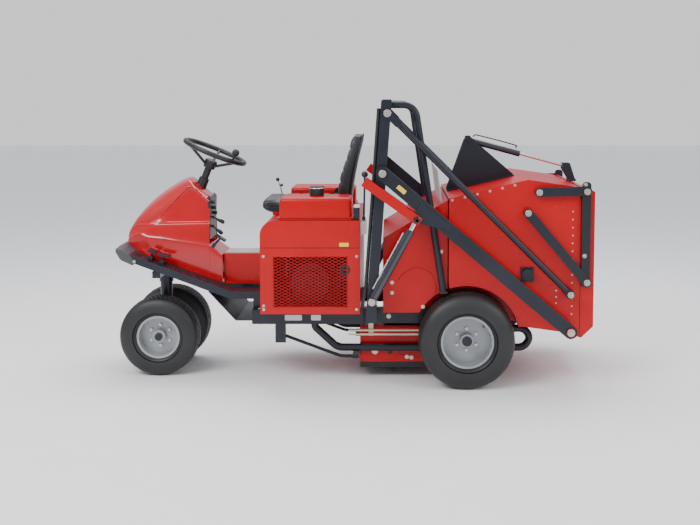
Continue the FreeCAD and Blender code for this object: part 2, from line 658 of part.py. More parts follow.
def make_tunnel():
    """Raised centre tunnel between hood and engine bay, with its pale tread plate on top."""
    front, rear, half = d.hood_rear + 0.5, d.bay_front - 0.5, d.tunnel_half
    outer = block("tunnel_outer", front, rear, -half, half, d.beam_top, d.tunnel_top)
    inner = block("tunnel_inner", front - 5, rear + 5, 4 - half, half - 4, d.beam_top - 5, d.tunnel_top - 4)
    keep(cut("tunnel_cover", outer, inner))
    keep(block("tunnel_plate", front + 6, rear - 6, -half + 25, half - 25, d.tunnel_top, d.tunnel_top + 4))


def make_pedals():
    """Left-hand drive and lift pedals on the step, and the brake pedal beside the tunnel."""
    across = -d.pedal_y
    for name, x, width in (("drive_pedal", d.drive_pedal_x, 74), ("brake_pedal", d.brake_pedal_x, 44)):
        top = beam_height(x) + d.step_thick
        arm = along(name + "_arm", (x - 10, top + 20), (x, top + 62), across, 7, 0, 46)
        boss = disc(name + "_boss", (x - 10, top + 20), 13, across - 27.7, across + 27.7)
        pad = slab(name + "_pad", "side", [(x - width / 2, top + 62), (x + width / 2, top + 46),
                                           (x + width / 2, top + 58), (x - width / 2, top + 74)],
                   across - 38, across + 38)
        keep(fused(name, [boss, arm, pad]))
    pad = slab("lift_pedal_pad", "side", [(-872, 874), (-812, 836), (-806, 844), (-866, 882)], -160, -100)
    pivot = (d.lift_pedal_x, d.lift_pedal_z)
    arm = along("lift_pedal_arm", pivot, (-842, 860), -130, 7, 0, 61)
    boss = disc("lift_pedal_boss", pivot, 12, -145, -115)
    keep(fused("lift_pedal", [pad, arm, boss]))


make_chassis_rails()
make_rear_axle()
make_front_frame()
make_bumper_and_steps()
column_foot, column_tip = make_hood()
make_steering_wheel(column_foot, column_tip)
make_dash(make_column(column_foot, column_tip))
make_tunnel()
make_pedals()


def make_front_fork():
    """Steering post between the twin front wheels, with the axle through its foot."""
    x, half = d.wheelbase_front, d.front_track / 2
    post = upright("fork_post", x, 0, d.post_radius, d.front_radius - 30, d.head_high + 20)
    collar = upright("fork_collar", x, 0, d.post_radius + 14, d.front_radius - 34, d.head_low - 1)
    cap = upright("fork_cap", x, 0, d.post_radius + 12, d.head_high + 1, d.head_high + 20)
    end = half + d.hub_half + 12
    axle = disc("fork_axle", (x, d.front_radius), d.front_spindle, -end, end)
    spacer = disc("fork_spacer", (x, d.front_radius), 24, 0, half - d.hub_half - d.sheet_gap)
    nut = disc("fork_nut", (x, d.front_radius), 24, half + d.hub_half + d.sheet_gap, end)
    keep(fused("front_fork", [post, collar, cap, axle] + both([spacer, nut])))


def make_guard_tubes():
    """The bent tube under each side, from the engine rail back round to the rear rail."""
    y = d.guard_y
    path = [(-229, y, d.engine_rail_low), (-229, y, 330), (-90, y, d.guard_z), (1075, y, d.guard_z),
            (1115, y, 262), (1075, y, 320), (d.rail_rear, y, 320)]
    keep(group("guard_tubes", both([bent_tube("guard_tube", path, d.guard_radius, 90)])))


def bay_outline(trim):
    top = d.bay_top - trim
    return [(d.bay_front + trim, d.bay_floor + trim), (d.bay_front + trim, top),
            (d.bay_rear - trim, top), (d.bay_rear - trim, d.bay_floor + trim)]


def make_engine_bay():
    """Hoop of sheet round the engine and the two meshed side panels."""
    skin = d.bay_sheet
    wall = d.bay_half - skin
    corner = [((d.bay_front, d.bay_top), d.bay_corner)]
    outer = slab("bay_outer", "side", bay_outline(0), -wall, wall, (), corner)
    inner_corner = [((d.bay_front + skin, d.bay_top - skin), d.bay_corner - skin)]
    inner = slab("bay_inner", "side", bay_outline(skin), -d.bay_half, d.bay_half, (), inner_corner)
    rail = block("seat_rail", -500, -60, d.seat_half - 75, d.seat_half - 25, d.bay_top, d.bay_top + 24)
    keep(fused("engine_bay", [cut("bay_hoop", outer, inner)] + both([rail])))
    panel = slab("bay_panel", "side", bay_outline(0), wall, d.bay_half, (), corner)
    holes = []
    for row in range(15):
        for column in range(6 if row % 2 == 0 else 5):
            x = d.mesh_front + (column + (0.5 if row % 2 == 0 else 1.0)) * d.mesh_pitch_x
            z = d.mesh_low + (row + 1) * d.mesh_pitch_z / 2
            shape = [(x - d.mesh_open_x / 2, z), (x, z - d.mesh_open_z / 2),
                     (x + d.mesh_open_x / 2, z), (x, z + d.mesh_open_z / 2)]
            holes.append(slab("mesh_hole_%d_%d" % (row, column), "side", shape,
                              wall - 2, d.bay_half + 2))
    pierced = cut("pierced_panel", panel, group("mesh_holes", holes))
    keep(group("side_panels", both([pierced])))


def make_engine():
    """Crankcase, blower housing, two heads and a silencer on its stay, each bolted face to face."""
    floor = d.bay_floor + d.bay_sheet
    block_body = block("crankcase", -400, -110, -190, 190, floor, floor + 250)
    blower = upright("blower", -255, 0, 165, floor + 250, floor + 360)
    heads = both([block("cylinder_head", -330, -170, -300, -190, floor + 90, floor + 230)])
    silencer = disc("silencer", (-30, floor + 210), 62, -260, 260)
    stay = block("silencer_stay", -110, -80, -200, 200, floor, floor + 215)
    keep(group("engine", [block_body, blower, fused("silencer_unit", [stay, silencer])] + heads))


def make_tank():
    """Fuel tank on the near side and its matching tool box on the far side."""
    inner, outer = d.tank_inner, d.tank_outer
    for name, low, high in (("fuel_tank", -outer, -inner), ("tool_box", inner, outer)):
        outline = [(d.tank_front, d.tank_low), (d.tank_front, d.tank_high),
                   (d.tank_rear, d.tank_high), (d.tank_rear, d.tank_low)]
        corners = [((d.tank_front, d.tank_high), 34), ((d.tank_rear, d.tank_high), 34)]
        shell = slab(name + "_shell", "side", outline, low, high, (), corners)
        wall = 6
        hollow = block(name + "_hollow", d.tank_front + wall, d.tank_rear - wall, low + wall,
                       high - wall, d.tank_low + wall, d.tank_high - 34)
        tray = block(name + "_tray", d.tank_front - 8, d.tank_rear + 8, low - 4, high + 4,
                     d.bay_top, d.tank_low)
        parts = [cut(name + "_body", shell, hollow), tray]
        if name == "fuel_tank":
            middle = -(inner + outer) / 2
            parts.append(upright("filler_neck", d.filler_x, middle, d.filler_radius - 6,
                                 d.tank_high - 2, d.tank_high + 30))
            keep(fused(name, parts))
            rim = upright("cap_rim", d.filler_x, middle, d.filler_radius, d.tank_high + 4, d.tank_high + 58)
            well = upright("cap_well", d.filler_x, middle, d.filler_radius - 6 + d.running_gap,
                           d.tank_high, d.tank_high + 30 + d.sheet_gap)
            keep(cut("filler_cap", rim, well))
        else:
            keep(fused(name, parts))


def make_seat():
    """Sliding seat pan, cushion and backrest; the soft parts are plain solids of full size."""
    pan = block("seat_plate", -520, -50, 20 - d.seat_half, d.seat_half - 20, d.bay_top + 24.3,
                d.cushion_low - d.sheet_gap)
    ear = block("seat_ear", d.back_foot_x - 25, d.back_foot_x + 25, d.seat_half - 20, d.seat_half - 12,
                d.bay_top + 30, d.back_foot_z + 30)
    hinge = disc("seat_hinge", (d.back_foot_x, d.back_foot_z), d.pivot_radius, d.seat_half - 62,
                 d.seat_half - 20)
    keep(fused("seat_pan", [pan] + both([ear, hinge])))
    cushion = [(d.seat_front, 1010), (d.seat_front, d.cushion_high - 25), (d.seat_front + 40, d.cushion_high),
               (d.cushion_rear, d.cushion_high - 12), (d.cushion_rear, d.cushion_low),
               (d.bay_front - 8, d.cushion_low), (d.bay_front - 8, 1010)]
    keep(slab("seat_cushion", "side", cushion, 26 - d.seat_half, d.seat_half - 26))
    back = [(d.back_foot_x - 22, d.back_foot_z - 20), (d.back_foot_x + 30, d.back_foot_z - 20),
            (30, 1290), (78, 1440), (70, d.back_top), (36, d.back_top), (6, 1440), (-60, 1260)]
    hole = disc("back_hole", (d.back_foot_x, d.back_foot_z), d.pivot_radius + d.running_gap, -400, 400)
    solid = slab("back_solid", "side", back, 38 - d.seat_half, d.seat_half - 38)
    keep(cut("seat_back", solid, hole))


make_front_fork()
make_guard_tubes()
make_engine_bay()
make_engine()
make_tank()
make_seat()


# ---- mast ----------------------------------------------------------------------------------

TIE_MAST = (d.tie_mast_x, d.tie_mast_z)
ARM_MAST = (d.arm_mast_x, d.arm_mast_z)
TIE_HOPPER = (d.tie_hopper_x, d.tie_hopper_z)
ARM_HOPPER = (d.arm_hopper_x, d.arm_hopper_z)
RAM_FOOT = (d.cylinder_foot_x, d.cylinder_foot_z)
RAM_HEAD = (d.cylinder_head_x, d.cylinder_head_z)


def make_mast():
    """Leaning posts with their pivot pins, cross tube and the bent braces behind them."""
    half = d.mast_half
    post = slab("mast_post", "side", [(d.mast_foot_x - half, d.mast_foot), (d.mast_top_x - half, d.mast_top),
                                      (d.mast_top_x + half, d.mast_top), (d.mast_foot_x + half, d.mast_foot)],
                d.mast_inner, d.mast_outer)
    pins = [disc("tie_pin", TIE_MAST, d.pivot_radius, d.mast_inner - 9, d.mast_outer + 9),
            disc("arm_pin", ARM_MAST, d.pivot_radius + 4, d.mast_outer, d.arm_outer + 10),
            disc("arm_pin_head", ARM_MAST, 26, d.arm_outer + d.sheet_gap, d.arm_outer + 12),
            disc("arm_pin_collar", ARM_MAST, 26, d.mast_outer, d.arm_inner - d.sheet_gap),
            disc("ram_pin", RAM_FOOT, d.pivot_radius, d.mast_outer, d.arm_outer + 14),
            disc("ram_pin_head", RAM_FOOT, 22, d.arm_outer + 4.3, d.arm_outer + 14)]
    cross = disc("mast_cross", (d.mast_top_x - 10, d.mast_top - 148), 20, -d.mast_inner, d.mast_inner)
    lug = block("brace_lug", d.mast_top_x + 7, d.mast_top_x + 46, d.brace_y - 5, d.mast_inner + 4,
                d.mast_top - 46, d.mast_top - 12)
    start = d.mast_top - 28
    path = [(d.mast_top_x + 12, d.brace_y, start), (d.brace_knee_x, d.brace_y, start),
            (d.brace_foot_x, d.brace_y, d.brace_foot_z)]
    brace = bent_tube("mast_brace", path, d.brace_radius, 120)
    foot = block("brace_foot", d.brace_foot_x - 24, d.brace_foot_x + 24, d.chute_half, d.brace_y + 22,
                 d.brace_foot_z - 4, d.brace_foot_z + 10)
    keep(fused("mast_frame", both([post, lug, brace, foot] + pins) + [cross]))


# ---- chute, deck and brush -----------------------------------------------------------------

def arches(name, radius, low, high):
    wheel = (d.rear_axle_x, d.rear_radius)
    return both([disc(name, wheel, radius, low, high)])


def make_chute():
    """Sheet chute that widens above the rails, with a throat between them down to the deck."""
    front, rear, skin = d.chute_front, d.chute_rear, d.sheet
    outer = slab("chute_outer", "side", [(front, d.rail_high), (front, d.chute_front_top),
                                         (rear, d.chute_rear_top), (rear, d.rail_high)],
                 -d.chute_half, d.chute_half)
    throat = block("throat_outer", front, d.throat_rear, -d.throat_half, d.throat_half,
                   d.throat_low, d.rail_high)
    inner = slab("chute_inner", "side", [(front + skin, d.rail_high + skin),
                                         (front + skin, d.chute_front_top - skin),
                                         (rear - skin, d.chute_rear_top - skin - 1),
                                         (rear - skin, d.rail_high + skin)],
                 skin - d.chute_half, d.chute_half - skin)
    throat_bore = block("throat_bore", front + skin, d.throat_rear - skin, skin - d.throat_half,
                        d.throat_half - skin, d.throat_low - 5, d.rail_high + skin + 1)
    mouth = block("chute_mouth", rear - skin - 5, rear + 5, -440, 440, 700, 1080)
    low = d.rail_outer - 5
    solid = cut("chute_solid", fused("chute_mass", [outer, throat]),
                group("chute_arches", arches("chute_arch", d.arch_radius, low, d.chute_half + 40)))
    room = cut("chute_room", inner, group("room_arches", arches("room_arch", d.arch_radius + skin,
                                                                low - skin, d.chute_half + 40)))
    keep(cut("chute", solid, fused("chute_hollow", [room, throat_bore, mouth])))
    slope = (d.chute_rear_top - d.chute_front_top) / (rear - front)
    keep(slab("chute_flap", "side", [(rear - 40, d.chute_rear_top - slope * 40),
                                     (rear - 32, d.chute_rear_top - slope * 32),
                                     (rear - 60, d.chute_rear_top + 180), (rear - 66, d.chute_rear_top + 180)],
              -430, 430))


def make_deck():
    """Brush housing open below, bearing plates, towing lugs and the two drag rods."""
    skin, half = d.sheet, d.throat_half
    outer = block("deck_outer", d.deck_front, d.deck_rear, -half, half, d.deck_low, d.deck_high)
    inner = block("deck_inner", d.deck_front + skin, d.deck_rear - skin, skin - half, half - skin,
                  d.deck_low - 5, d.deck_high - skin)
    mouth = block("deck_mouth", d.chute_front + 15, d.throat_rear - 25, 20 - half, half - 20,
                  d.deck_high - 10, d.deck_high + 5)
    shell = cut("deck_shell", outer, fused("deck_hollow", [inner, mouth]))
    axis = (d.brush_x, d.brush_z)
    plate = disc("bearing_plate", axis, 48, half - 16, half + 6)
    arm = slab("deck_arm", "side", [(110, 172), (205, 174), (330, 140), (470, 116), (470, 102), (300, 102),
                                    (190, 128), (110, 150)], half, half + 5)
    lug = block("deck_lug", 6, d.deck_front, 230, d.drag_y + 14, 140, 160)
    path = [(d.drag_x, d.drag_y, d.drag_z), (-69, d.drag_y, 152), (14, d.drag_y, 150)]
    rod = bent_tube("drag_rod", path, d.drag_radius, 120)
    pivot = (d.drag_x, d.drag_z)
    eye = disc("drag_eye", pivot, 22, d.drag_y - 9, d.drag_y + 9)
    whole = fused("deck_weldment", [shell] + both([plate, arm, lug, rod, eye]))
    reach = d.engine_rail_outer
    bores = group("deck_bores", [disc("deck_bore", axis, d.brush_shaft + d.running_gap, -half - 20, half + 20),
                                 disc("drag_bore", pivot, d.drag_pin + d.running_gap, -reach, reach)])
    keep(cut("brush_deck", whole, bores))
    rim = block("skirt_outer", d.deck_front, d.deck_rear, -half, half, d.skirt_low, d.deck_low)
    hole = block("skirt_hole", d.deck_front + 5, d.deck_rear - 5, 5 - half, half - 5, d.skirt_low - 5, d.deck_low + 5)
    keep(cut("deck_skirt", rim, hole))
    shaft = disc("brush_axle", axis, d.brush_shaft, -half - 4, half + 4)
    drum = disc("brush_drum", axis, d.brush_core, 22 - half, half - 22)
    keep(fused("brush_core", [shaft, drum]))
    tufts = []
    for number in range(12):
        turn = 30 * number
        tuft = doc.addObject("Part::Box", "brush_tuft_%d" % number)
        bind(tuft, "Length", d.brush_radius - d.brush_core - d.sheet_gap)
        bind(tuft, "Width", 2 * (half - 26))
        tuft.Height = 12
        spin = FreeCAD.Rotation(VECTOR(0, 1, 0), turn)
        reach = value_of(d.brush_core + d.sheet_gap)
        base = VECTOR(value_of(d.brush_x), 0, value_of(d.brush_z))
        tuft.Placement = FreeCAD.Placement(base + spin.multVec(VECTOR(reach, -value_of(half - 26), -6)), spin)
        tufts.append(tuft)
    keep(group("brush_bristles", tufts))


# ---- lift linkage --------------------------------------------------------------------------

def make_lift_arms():
    """Box arms with gusset plates that carry the lift ram heads and the safety struts."""
    bore = d.pivot_radius + 4 + d.running_gap
    arm = link("lift_arm", ARM_MAST, ARM_HOPPER, d.arm_depth, d.arm_inner, d.arm_outer, bore)
    run = d.cylinder_head_x
    rise = d.cylinder_head_z
    outline = [(run - 30, rise + 12), (run - 14, rise - 26), (run + 24, rise - 26), (run + 170, rise - 55),
               (run + 185, rise - 75), (run + 205, rise - 40), (run + 30, rise + 100)]
    gussets = []
    for low, number in ((d.arm_inner - d.gusset, 1), (d.arm_outer, 2)):
        gussets.append(slab("gusset_%d" % number, "side", outline, low, low + d.gusset))
    heads = [disc("ram_head_%d" % number, RAM_HEAD, 18, low, high) for number, low, high in
             ((1, d.strut_inner - 3, d.arm_inner - d.gusset), (2, d.arm_outer + d.gusset, d.strut_outer + 8))]
    keep(fused("lift_arms", both([arm] + gussets + heads)))


def make_tie_rods():
    """Upper rods: a fork over the mast post, a round bar and an eye beside the hopper."""
    length = span(TIE_MAST, TIE_HOPPER)
    y, radius = d.tie_y, d.tie_radius
    inner, outer = d.mast_inner - 0.5, d.mast_outer + 0.5
    bar = along("tie_bar", TIE_MAST, TIE_HOPPER, y, radius, 76, length - 20)
    yoke = link("tie_yoke", part_way(TIE_MAST, TIE_HOPPER, 62), part_way(TIE_MAST, TIE_HOPPER, 84), 46,
                inner - d.fork_cheek, outer + d.fork_cheek, 0)
    cheeks = []
    for low, number in ((inner - d.fork_cheek, 1), (outer, 2)):
        cheeks.append(link("tie_cheek_%d" % number, TIE_MAST, part_way(TIE_MAST, TIE_HOPPER, 70), 46,
                           low, low + d.fork_cheek, 0))
    bore = disc("tie_bore", TIE_MAST, d.pivot_radius + d.running_gap, inner - 20, outer + 20)
    eye = disc("tie_eye", TIE_HOPPER, d.eye_radius, y - radius, y + radius)
    head = disc("tie_head", TIE_HOPPER, 17, y + radius, y + radius + 10)
    rod = cut("tie_rod", fused("tie_rod_whole", [bar, yoke, eye, head] + cheeks), bore)
    keep(group("tie_rods", both([rod])))


def make_lift_rams():
    """Hydraulic lift rams: barrels on the mast, rods with eyes under the arms."""
    middle = (d.arm_inner + d.arm_outer) / 2
    length = span(RAM_FOOT, RAM_HEAD)
    tube = along("ram_tube", RAM_FOOT, RAM_HEAD, middle, d.barrel_radius, d.barrel_start,
                 d.barrel_end, d.barrel_bore, d.barrel_start + 50)
    gland_bore = d.rod_radius + d.running_gap
    gland = along("ram_gland", RAM_FOOT, RAM_HEAD, middle, d.barrel_radius, d.barrel_end,
                  d.barrel_end + d.gland, gland_bore)
    eye = disc("ram_eye", RAM_FOOT, d.eye_radius, d.arm_inner - 2, d.arm_outer + 2)
    bore = disc("ram_eye_bore", RAM_FOOT, d.pivot_radius + d.running_gap, d.arm_inner - 10, d.arm_outer + 10)
    keep(group("lift_barrels", both([cut("ram_barrel", fused("ram_body", [tube, gland, eye]), bore)])))
    rod = along("ram_rod", RAM_FOOT, RAM_HEAD, middle, d.rod_radius, d.piston_start, length - 14)
    piston = along("ram_piston", RAM_FOOT, RAM_HEAD, middle, d.barrel_bore - d.running_gap,
                   d.piston_start, d.piston_start + d.piston_length)
    head = disc("rod_eye", RAM_HEAD, 24, d.arm_inner + 3, d.arm_outer - 3)
    keep(group("lift_rods", both([fused("ram_rod_unit", [rod, piston, head])])))


def make_safety_struts():
    """Red channels that hang under the arms and drop over the rams as a transport lock."""
    head = RAM_HEAD
    lean = math.radians(180 - value_of(d.strut_angle))
    tip = (head[0] + 100 * math.cos(lean), head[1] + 100 * math.sin(lean))
    for name, side in (("safety_strut_left", -1), ("safety_strut_right", 1)):
        half = d.strut_depth / 2
        bore = 18 + d.running_gap
        outer = d.strut_outer
        inner = d.strut_inner
        flanges = []
        for low in (inner, outer - d.strut_sheet):
            plate = doc.addObject("PartDesign::Body", "%s_flange_%d" % (name, len(flanges)))
            sketch = new_sketch(plate, "XZ_Plane", -(low + d.strut_sheet))
            polygon(sketch, [(-half, -half), (d.strut_length, -half), (d.strut_length, half), (-half, half)])
            circle(sketch, (0, 0), bore)
            pad = plate.newObject("PartDesign::Pad", plate.Name + "_pad")
            pad.Profile = sketch
            bind(pad, "Length", d.strut_sheet)
            flanges.append(aim(plate, head, tip))
        web = doc.addObject("PartDesign::Body", name + "_web")
        sketch = new_sketch(web, "XZ_Plane", -outer)
        polygon(sketch, [(d.strut_length * 0.24, -half - 5), (d.strut_length, -half - 5),
                         (d.strut_length, -half), (d.strut_length * 0.24, -half)])
        pad = web.newObject("PartDesign::Pad", web.Name + "_pad")
        pad.Profile = sketch
        bind(pad, "Length", outer - inner)
        far = fused(name if side > 0 else name + "_far_side", flanges + [aim(web, head, tip)])
        if side > 0:
            keep(far)
        else:
            near = doc.addObject("Part::Mirroring", name)
            near.Source = far
            near.Normal = VECTOR(0, 1, 0)
            keep(near)


# ---- hopper and door -----------------------------------------------------------------------

UPPER_PIVOT = (d.upper_pivot_x, d.upper_pivot_z)
UPPER_DOOR = (d.upper_door_x, d.upper_door_z)
LOWER_PIVOT = (d.lower_pivot_x, d.lower_pivot_z)
LOWER_DOOR = (d.lower_door_x, d.lower_door_z)
DOOR_RAM = (d.door_ram_x, d.door_ram_z)
DOOR_RAM_END = (d.door_ram_end_x, d.door_ram_end_z)


def make_hopper():
    """Sheet hopper with wheel arches, inlet and open rear, and its pivot bosses."""
    skin, half = d.hopper_sheet, d.hopper_half
    outline = [(d.hopper_front, d.hopper_front_low), (d.hopper_front, d.hopper_front_top),
               (d.hopper_apex_x, d.hopper_apex_z), (d.hopper_rear - 13, d.hopper_rear_top + 2),
               (d.hopper_rear, d.hopper_rear_top - 80), (d.hopper_rear, d.hopper_low), (1320, 330), (1057, 367), (700, 367)]
    outer = slab("hopper_outer", "side", outline, -half, half)
    inside = [(d.hopper_front + skin, d.hopper_front_low), (d.hopper_front + skin, d.hopper_front_top - skin),
              (d.hopper_apex_x, d.hopper_apex_z - skin), (d.hopper_rear + 5, d.hopper_rear_top - skin),
              (d.hopper_rear + 5, d.hopper_low + skin), (1320, 330 + skin), (1057, 367 + skin),
              (700, 367 + skin)]
    inner = slab("hopper_inner", "side", inside, skin - half, half - skin)
    wheel = (d.rear_axle_x, d.rear_radius)
    solid = cut("hopper_solid", outer, disc("hopper_arch", wheel, d.arch_radius, -half - 5, half + 5))
    room = cut("hopper_room", inner, disc("hopper_room_arch", wheel, d.arch_radius + skin, -half, half))
    mouth = block("hopper_mouth", d.hopper_front - 5, d.hopper_front + skin + 5, -440, 440, 700, 1080)
    shell = cut("hopper_sheets", solid, fused("hopper_hollow", [room, mouth]))
    pivot = d.pivot_radius
    bosses = [disc("tie_boss", TIE_HOPPER, 26, half, d.tie_y - d.tie_radius - 3),
              disc("arm_boss", ARM_HOPPER, 26, half, d.arm_inner - d.sheet_gap),
              disc("arm_stub", ARM_HOPPER, pivot + 4, half, d.arm_outer + 10),
              disc("arm_stub_head", ARM_HOPPER, 26, d.arm_outer + d.sheet_gap, d.arm_outer + 12)]
    for name, place in (("upper", UPPER_PIVOT), ("lower", LOWER_PIVOT)):
        bosses.append(disc(name + "_link_boss", place, 24, half, d.link_inner - d.sheet_gap))
        bosses.append(disc(name + "_link_pin", place, pivot, half, d.link_outer + 1))
    keep(fused("hopper_shell", [shell] + both(bosses)))


def roof_height(x):
    rise = (d.hopper_apex_z - d.hopper_front_top) / (d.hopper_apex_x - d.hopper_front)
    return d.hopper_front_top + (x - d.hopper_front) * rise


def make_bracket_and_box():
    """Triangular door-ram bracket on the roof and the round cable box on the hopper's side."""
    front, rear = d.hopper_front + 12, d.hopper_apex_x - 35
    outline = [(front, roof_height(front)), (rear, roof_height(rear)), (rear, roof_height(rear) + 8),
               (d.door_ram_x + 26, d.door_ram_z + 8), (d.door_ram_x + 8, d.door_ram_z + 28),
               (d.door_ram_x - 16, d.door_ram_z + 26), (d.door_ram_x - 28, d.door_ram_z),
               (front, roof_height(front) + 22)]
    gap = d.bracket_half - d.bracket_plate
    plate = slab("ram_bracket_plate", "side", outline, gap, d.bracket_half,
                 ((DOOR_RAM, d.pivot_radius - 0.5),))
    foot = slab("ram_bracket_foot", "side", [(front, roof_height(front)), (rear, roof_height(rear)),
                                             (rear, roof_height(rear) + 8), (front, roof_height(front) + 8)],
                -d.bracket_half - 40, d.bracket_half + 40)
    pin = disc("ram_bracket_pin", DOOR_RAM, d.pivot_radius - 0.5, -d.bracket_half - 8, d.bracket_half + 8)
    bracket = fused("ram_bracket", both([plate]) + [foot, pin])
    place = (1066, 690)
    drum = disc("box_drum", place, 36, -d.hopper_half - 28, -d.hopper_half)
    plate = block("box_plate", place[0] - 40, place[0] + 40, -d.hopper_half - 8, -d.hopper_half,
                  place[1] - 44, place[1] + 44)
    bolts = [disc("box_bolt_%d_%d" % (i, j), (place[0] + i * 30, place[1] + j * 34), 7,
                  -d.hopper_half - 14, -d.hopper_half - 7) for i in (-1, 1) for j in (-1, 1)]
    keep(group("hopper_fittings", [bracket, fused("cable_box", [drum, plate] + bolts)]))


def make_door():
    """Tray-shaped rear door with a full-height bar on each side that carries the link pins."""
    half, skin, front = d.hopper_half, d.hopper_sheet, d.hopper_rear + d.door_gap
    outline = [(front, d.hopper_low), (front, d.hopper_rear_top), (front + 16, d.hopper_rear_top + 1),
               (d.door_rear, d.hopper_rear_top - 26), (d.door_rear, d.door_low), (front + 12, d.hopper_low)]
    outer = slab("door_outer", "side", outline, -half, half)
    inside = [(front - 5, d.hopper_low + skin), (front - 5, d.hopper_rear_top - skin),
              (front + 16, d.hopper_rear_top - skin), (d.door_rear - skin, d.hopper_rear_top - 29),
              (d.door_rear - skin, d.door_low + 2), (front + 10, d.hopper_low + skin)]
    inner = slab("door_inner", "side", inside, skin - half, half - skin)
    keep(cut("door_panel", outer, inner))
    bar = slab("door_bar", "side", [(d.bar_front, d.bar_low), (d.bar_front, d.bar_high),
                                    (d.bar_front + d.bar_width, d.bar_high),
                                    (d.bar_front + d.bar_width, d.bar_low)],
               d.bar_inner, d.bar_outer, (),
               [((d.bar_front, d.bar_high), 20), ((d.bar_front + d.bar_width, d.bar_high), 20)])
    pads = [block("bar_pad_%d" % height, d.bar_front + 4, d.bar_front + d.bar_width - 4, half,
                  d.bar_inner, height, height + 60) for height in (660, 900, 1130)]
    pins = [disc("lower_door_pin", LOWER_DOOR, d.pivot_radius, d.bar_outer, d.link_outer + 1),
            disc("lower_door_collar", LOWER_DOOR, 22, d.bar_outer, d.link_inner - d.sheet_gap)]
    bars = fused("door_side_bars", both([bar] + pads + pins))
    foot = block("door_lug_foot", front + 2, front + 44, -60, 60, d.hopper_rear_top - 6, d.hopper_rear_top + 16)
    lug_outline = [(front + 2, d.hopper_rear_top + 10), (front + 44, d.hopper_rear_top + 10),
                   (d.door_ram_end_x + 26, d.door_ram_end_z + 22), (d.door_ram_end_x - 24, d.door_ram_end_z + 22),
                   (d.door_ram_end_x - 24, d.door_ram_end_z - 14)]
    lug = slab("door_lug", "side", lug_outline, 24, 32)
    trim = block("door_lug_trim", front - 40, front + 90, -half, half, d.hopper_rear_top - 30,
                 d.hopper_rear_top + 1.2)
    keep(group("door_bars", [bars, cut("door_lugs", fused("door_lug_unit", both([lug]) + [foot]), trim)]))


def make_links():
    """Door links: the lower pair drives the door, the upper pair keeps it level."""
    bore = d.pivot_radius + d.running_gap
    for name, start, end in (("lower_links", LOWER_PIVOT, LOWER_DOOR), ("upper_links", UPPER_PIVOT, UPPER_DOOR)):
        open_end = 0 if name == "upper_links" else bore
        bar = link(name + "_bar", start, end, d.link_width, d.link_inner, d.link_outer, open_end)
        pieces = [bar]
        if name == "upper_links":
            bore_tool = disc(name + "_bore", start, bore, d.link_inner - 5, d.link_outer + 5)
            pieces = [fused(name + "_unit", [cut(name + "_bored", bar, bore_tool),
                                             disc(name + "_cap", end, 14, d.link_outer, d.link_outer + 1.5)])]
        keep(group(name, both(pieces)))


def make_door_ram():
    """Door ram: barrel pinned in the roof bracket, rod reaching to the door's top lugs."""
    length = span(DOOR_RAM, DOOR_RAM_END)
    eye = disc("door_ram_eye", DOOR_RAM, 24, -24, 24)
    tube = along("door_ram_tube", DOOR_RAM, DOOR_RAM_END, 0, d.door_ram_radius, 20, d.door_barrel - 12,
                 d.door_ram_bore, 52)
    gland = along("door_ram_gland", DOOR_RAM, DOOR_RAM_END, 0, d.door_ram_radius, d.door_barrel - 12,
                  d.door_barrel, d.door_rod_radius + d.running_gap)
    bore = disc("door_ram_eye_bore", DOOR_RAM, d.pivot_radius - 0.5 + d.running_gap, -30, 30)
    keep(cut("door_barrel", fused("door_barrel_unit", [eye, tube, gland]), bore))
    rod = along("door_ram_rod", DOOR_RAM, DOOR_RAM_END, 0, d.door_rod_radius, d.door_barrel - 40, length - 10)
    piston = along("door_ram_piston", DOOR_RAM, DOOR_RAM_END, 0, d.door_ram_bore - d.running_gap,
                   d.door_barrel - 40, d.door_barrel - 18)
    head = disc("door_rod_eye", DOOR_RAM_END, 17, -18, 18)
    keep(fused("door_rod", [rod, piston, head]))


# ---- hydraulics ----------------------------------------------------------------------------

def make_hydraulics():
    """Valve block with its hand lever, steel pipes under the rails and the mast hoses."""
    body = block("valve_body", 64, 96, -478, -410, 930, d.valve_top)
    stay = block("valve_stay", d.bay_rear, 64, -470, -418, 940, 1000)
    keep(fused("valve_block", [body, stay]))
    pivot = (80, d.valve_top + 12 + d.sheet_gap)
    boss = disc("hydraulic_lever_boss", pivot, 12, -456, -432)
    stalk = along("hydraulic_lever_stalk", pivot, (86, 1290), -444, 6, 0, 250)
    ball = doc.addObject("Part::Sphere", "hydraulic_lever_ball")
    ball.Radius = 20
    ball.Placement = FreeCAD.Placement(VECTOR(86, -444, 1290), FreeCAD.Rotation())
    keep(fused("hydraulic_lever", [boss, stalk, ball]))
    pipes = []
    for number, height in enumerate((286, 312)):
        pipes.append(disc("pipe_clip_%d" % number, (120, height), 9, -d.rail_outer + 5, -d.rail_outer + 30))
        line = along("pipe_%d" % number, (-20, height), (620, height), -d.rail_outer + 8 - 6, 6, 0, 640)
        pipes.append(line)
    clip = block("pipe_saddle", 105, 135, -d.rail_outer + 14, -d.rail_outer + 24, 276, d.rail_low)
    keep(fused("steel_pipes", pipes + [clip]))
    y = d.mast_outer - 40
    lean = (d.mast_top_x - d.mast_foot_x) / (d.mast_top - d.mast_foot)
    hoses = []
    for number in (-1, 1):
        route = [(d.mast_foot_x - d.mast_half - 11.3 + (height - d.mast_foot) * lean - bow, -y + number * 14,
                  height) for height, bow in ((560, 0), (700, 1), (1200, 0), (1690, 0))]
        hoses.append(bent_tube("mast_hose_%d" % (number + 1), route, 11, 300))
    keep(group("mast_hoses", hoses))


make_mast()
make_chute()
make_deck()
make_lift_arms()
make_tie_rods()
make_lift_rams()
make_safety_struts()
make_hopper()
make_bracket_and_box()
make_door()
make_links()
make_door_ram()
make_hydraulics()


# ---- checks and files ----------------------------------------------------------------------

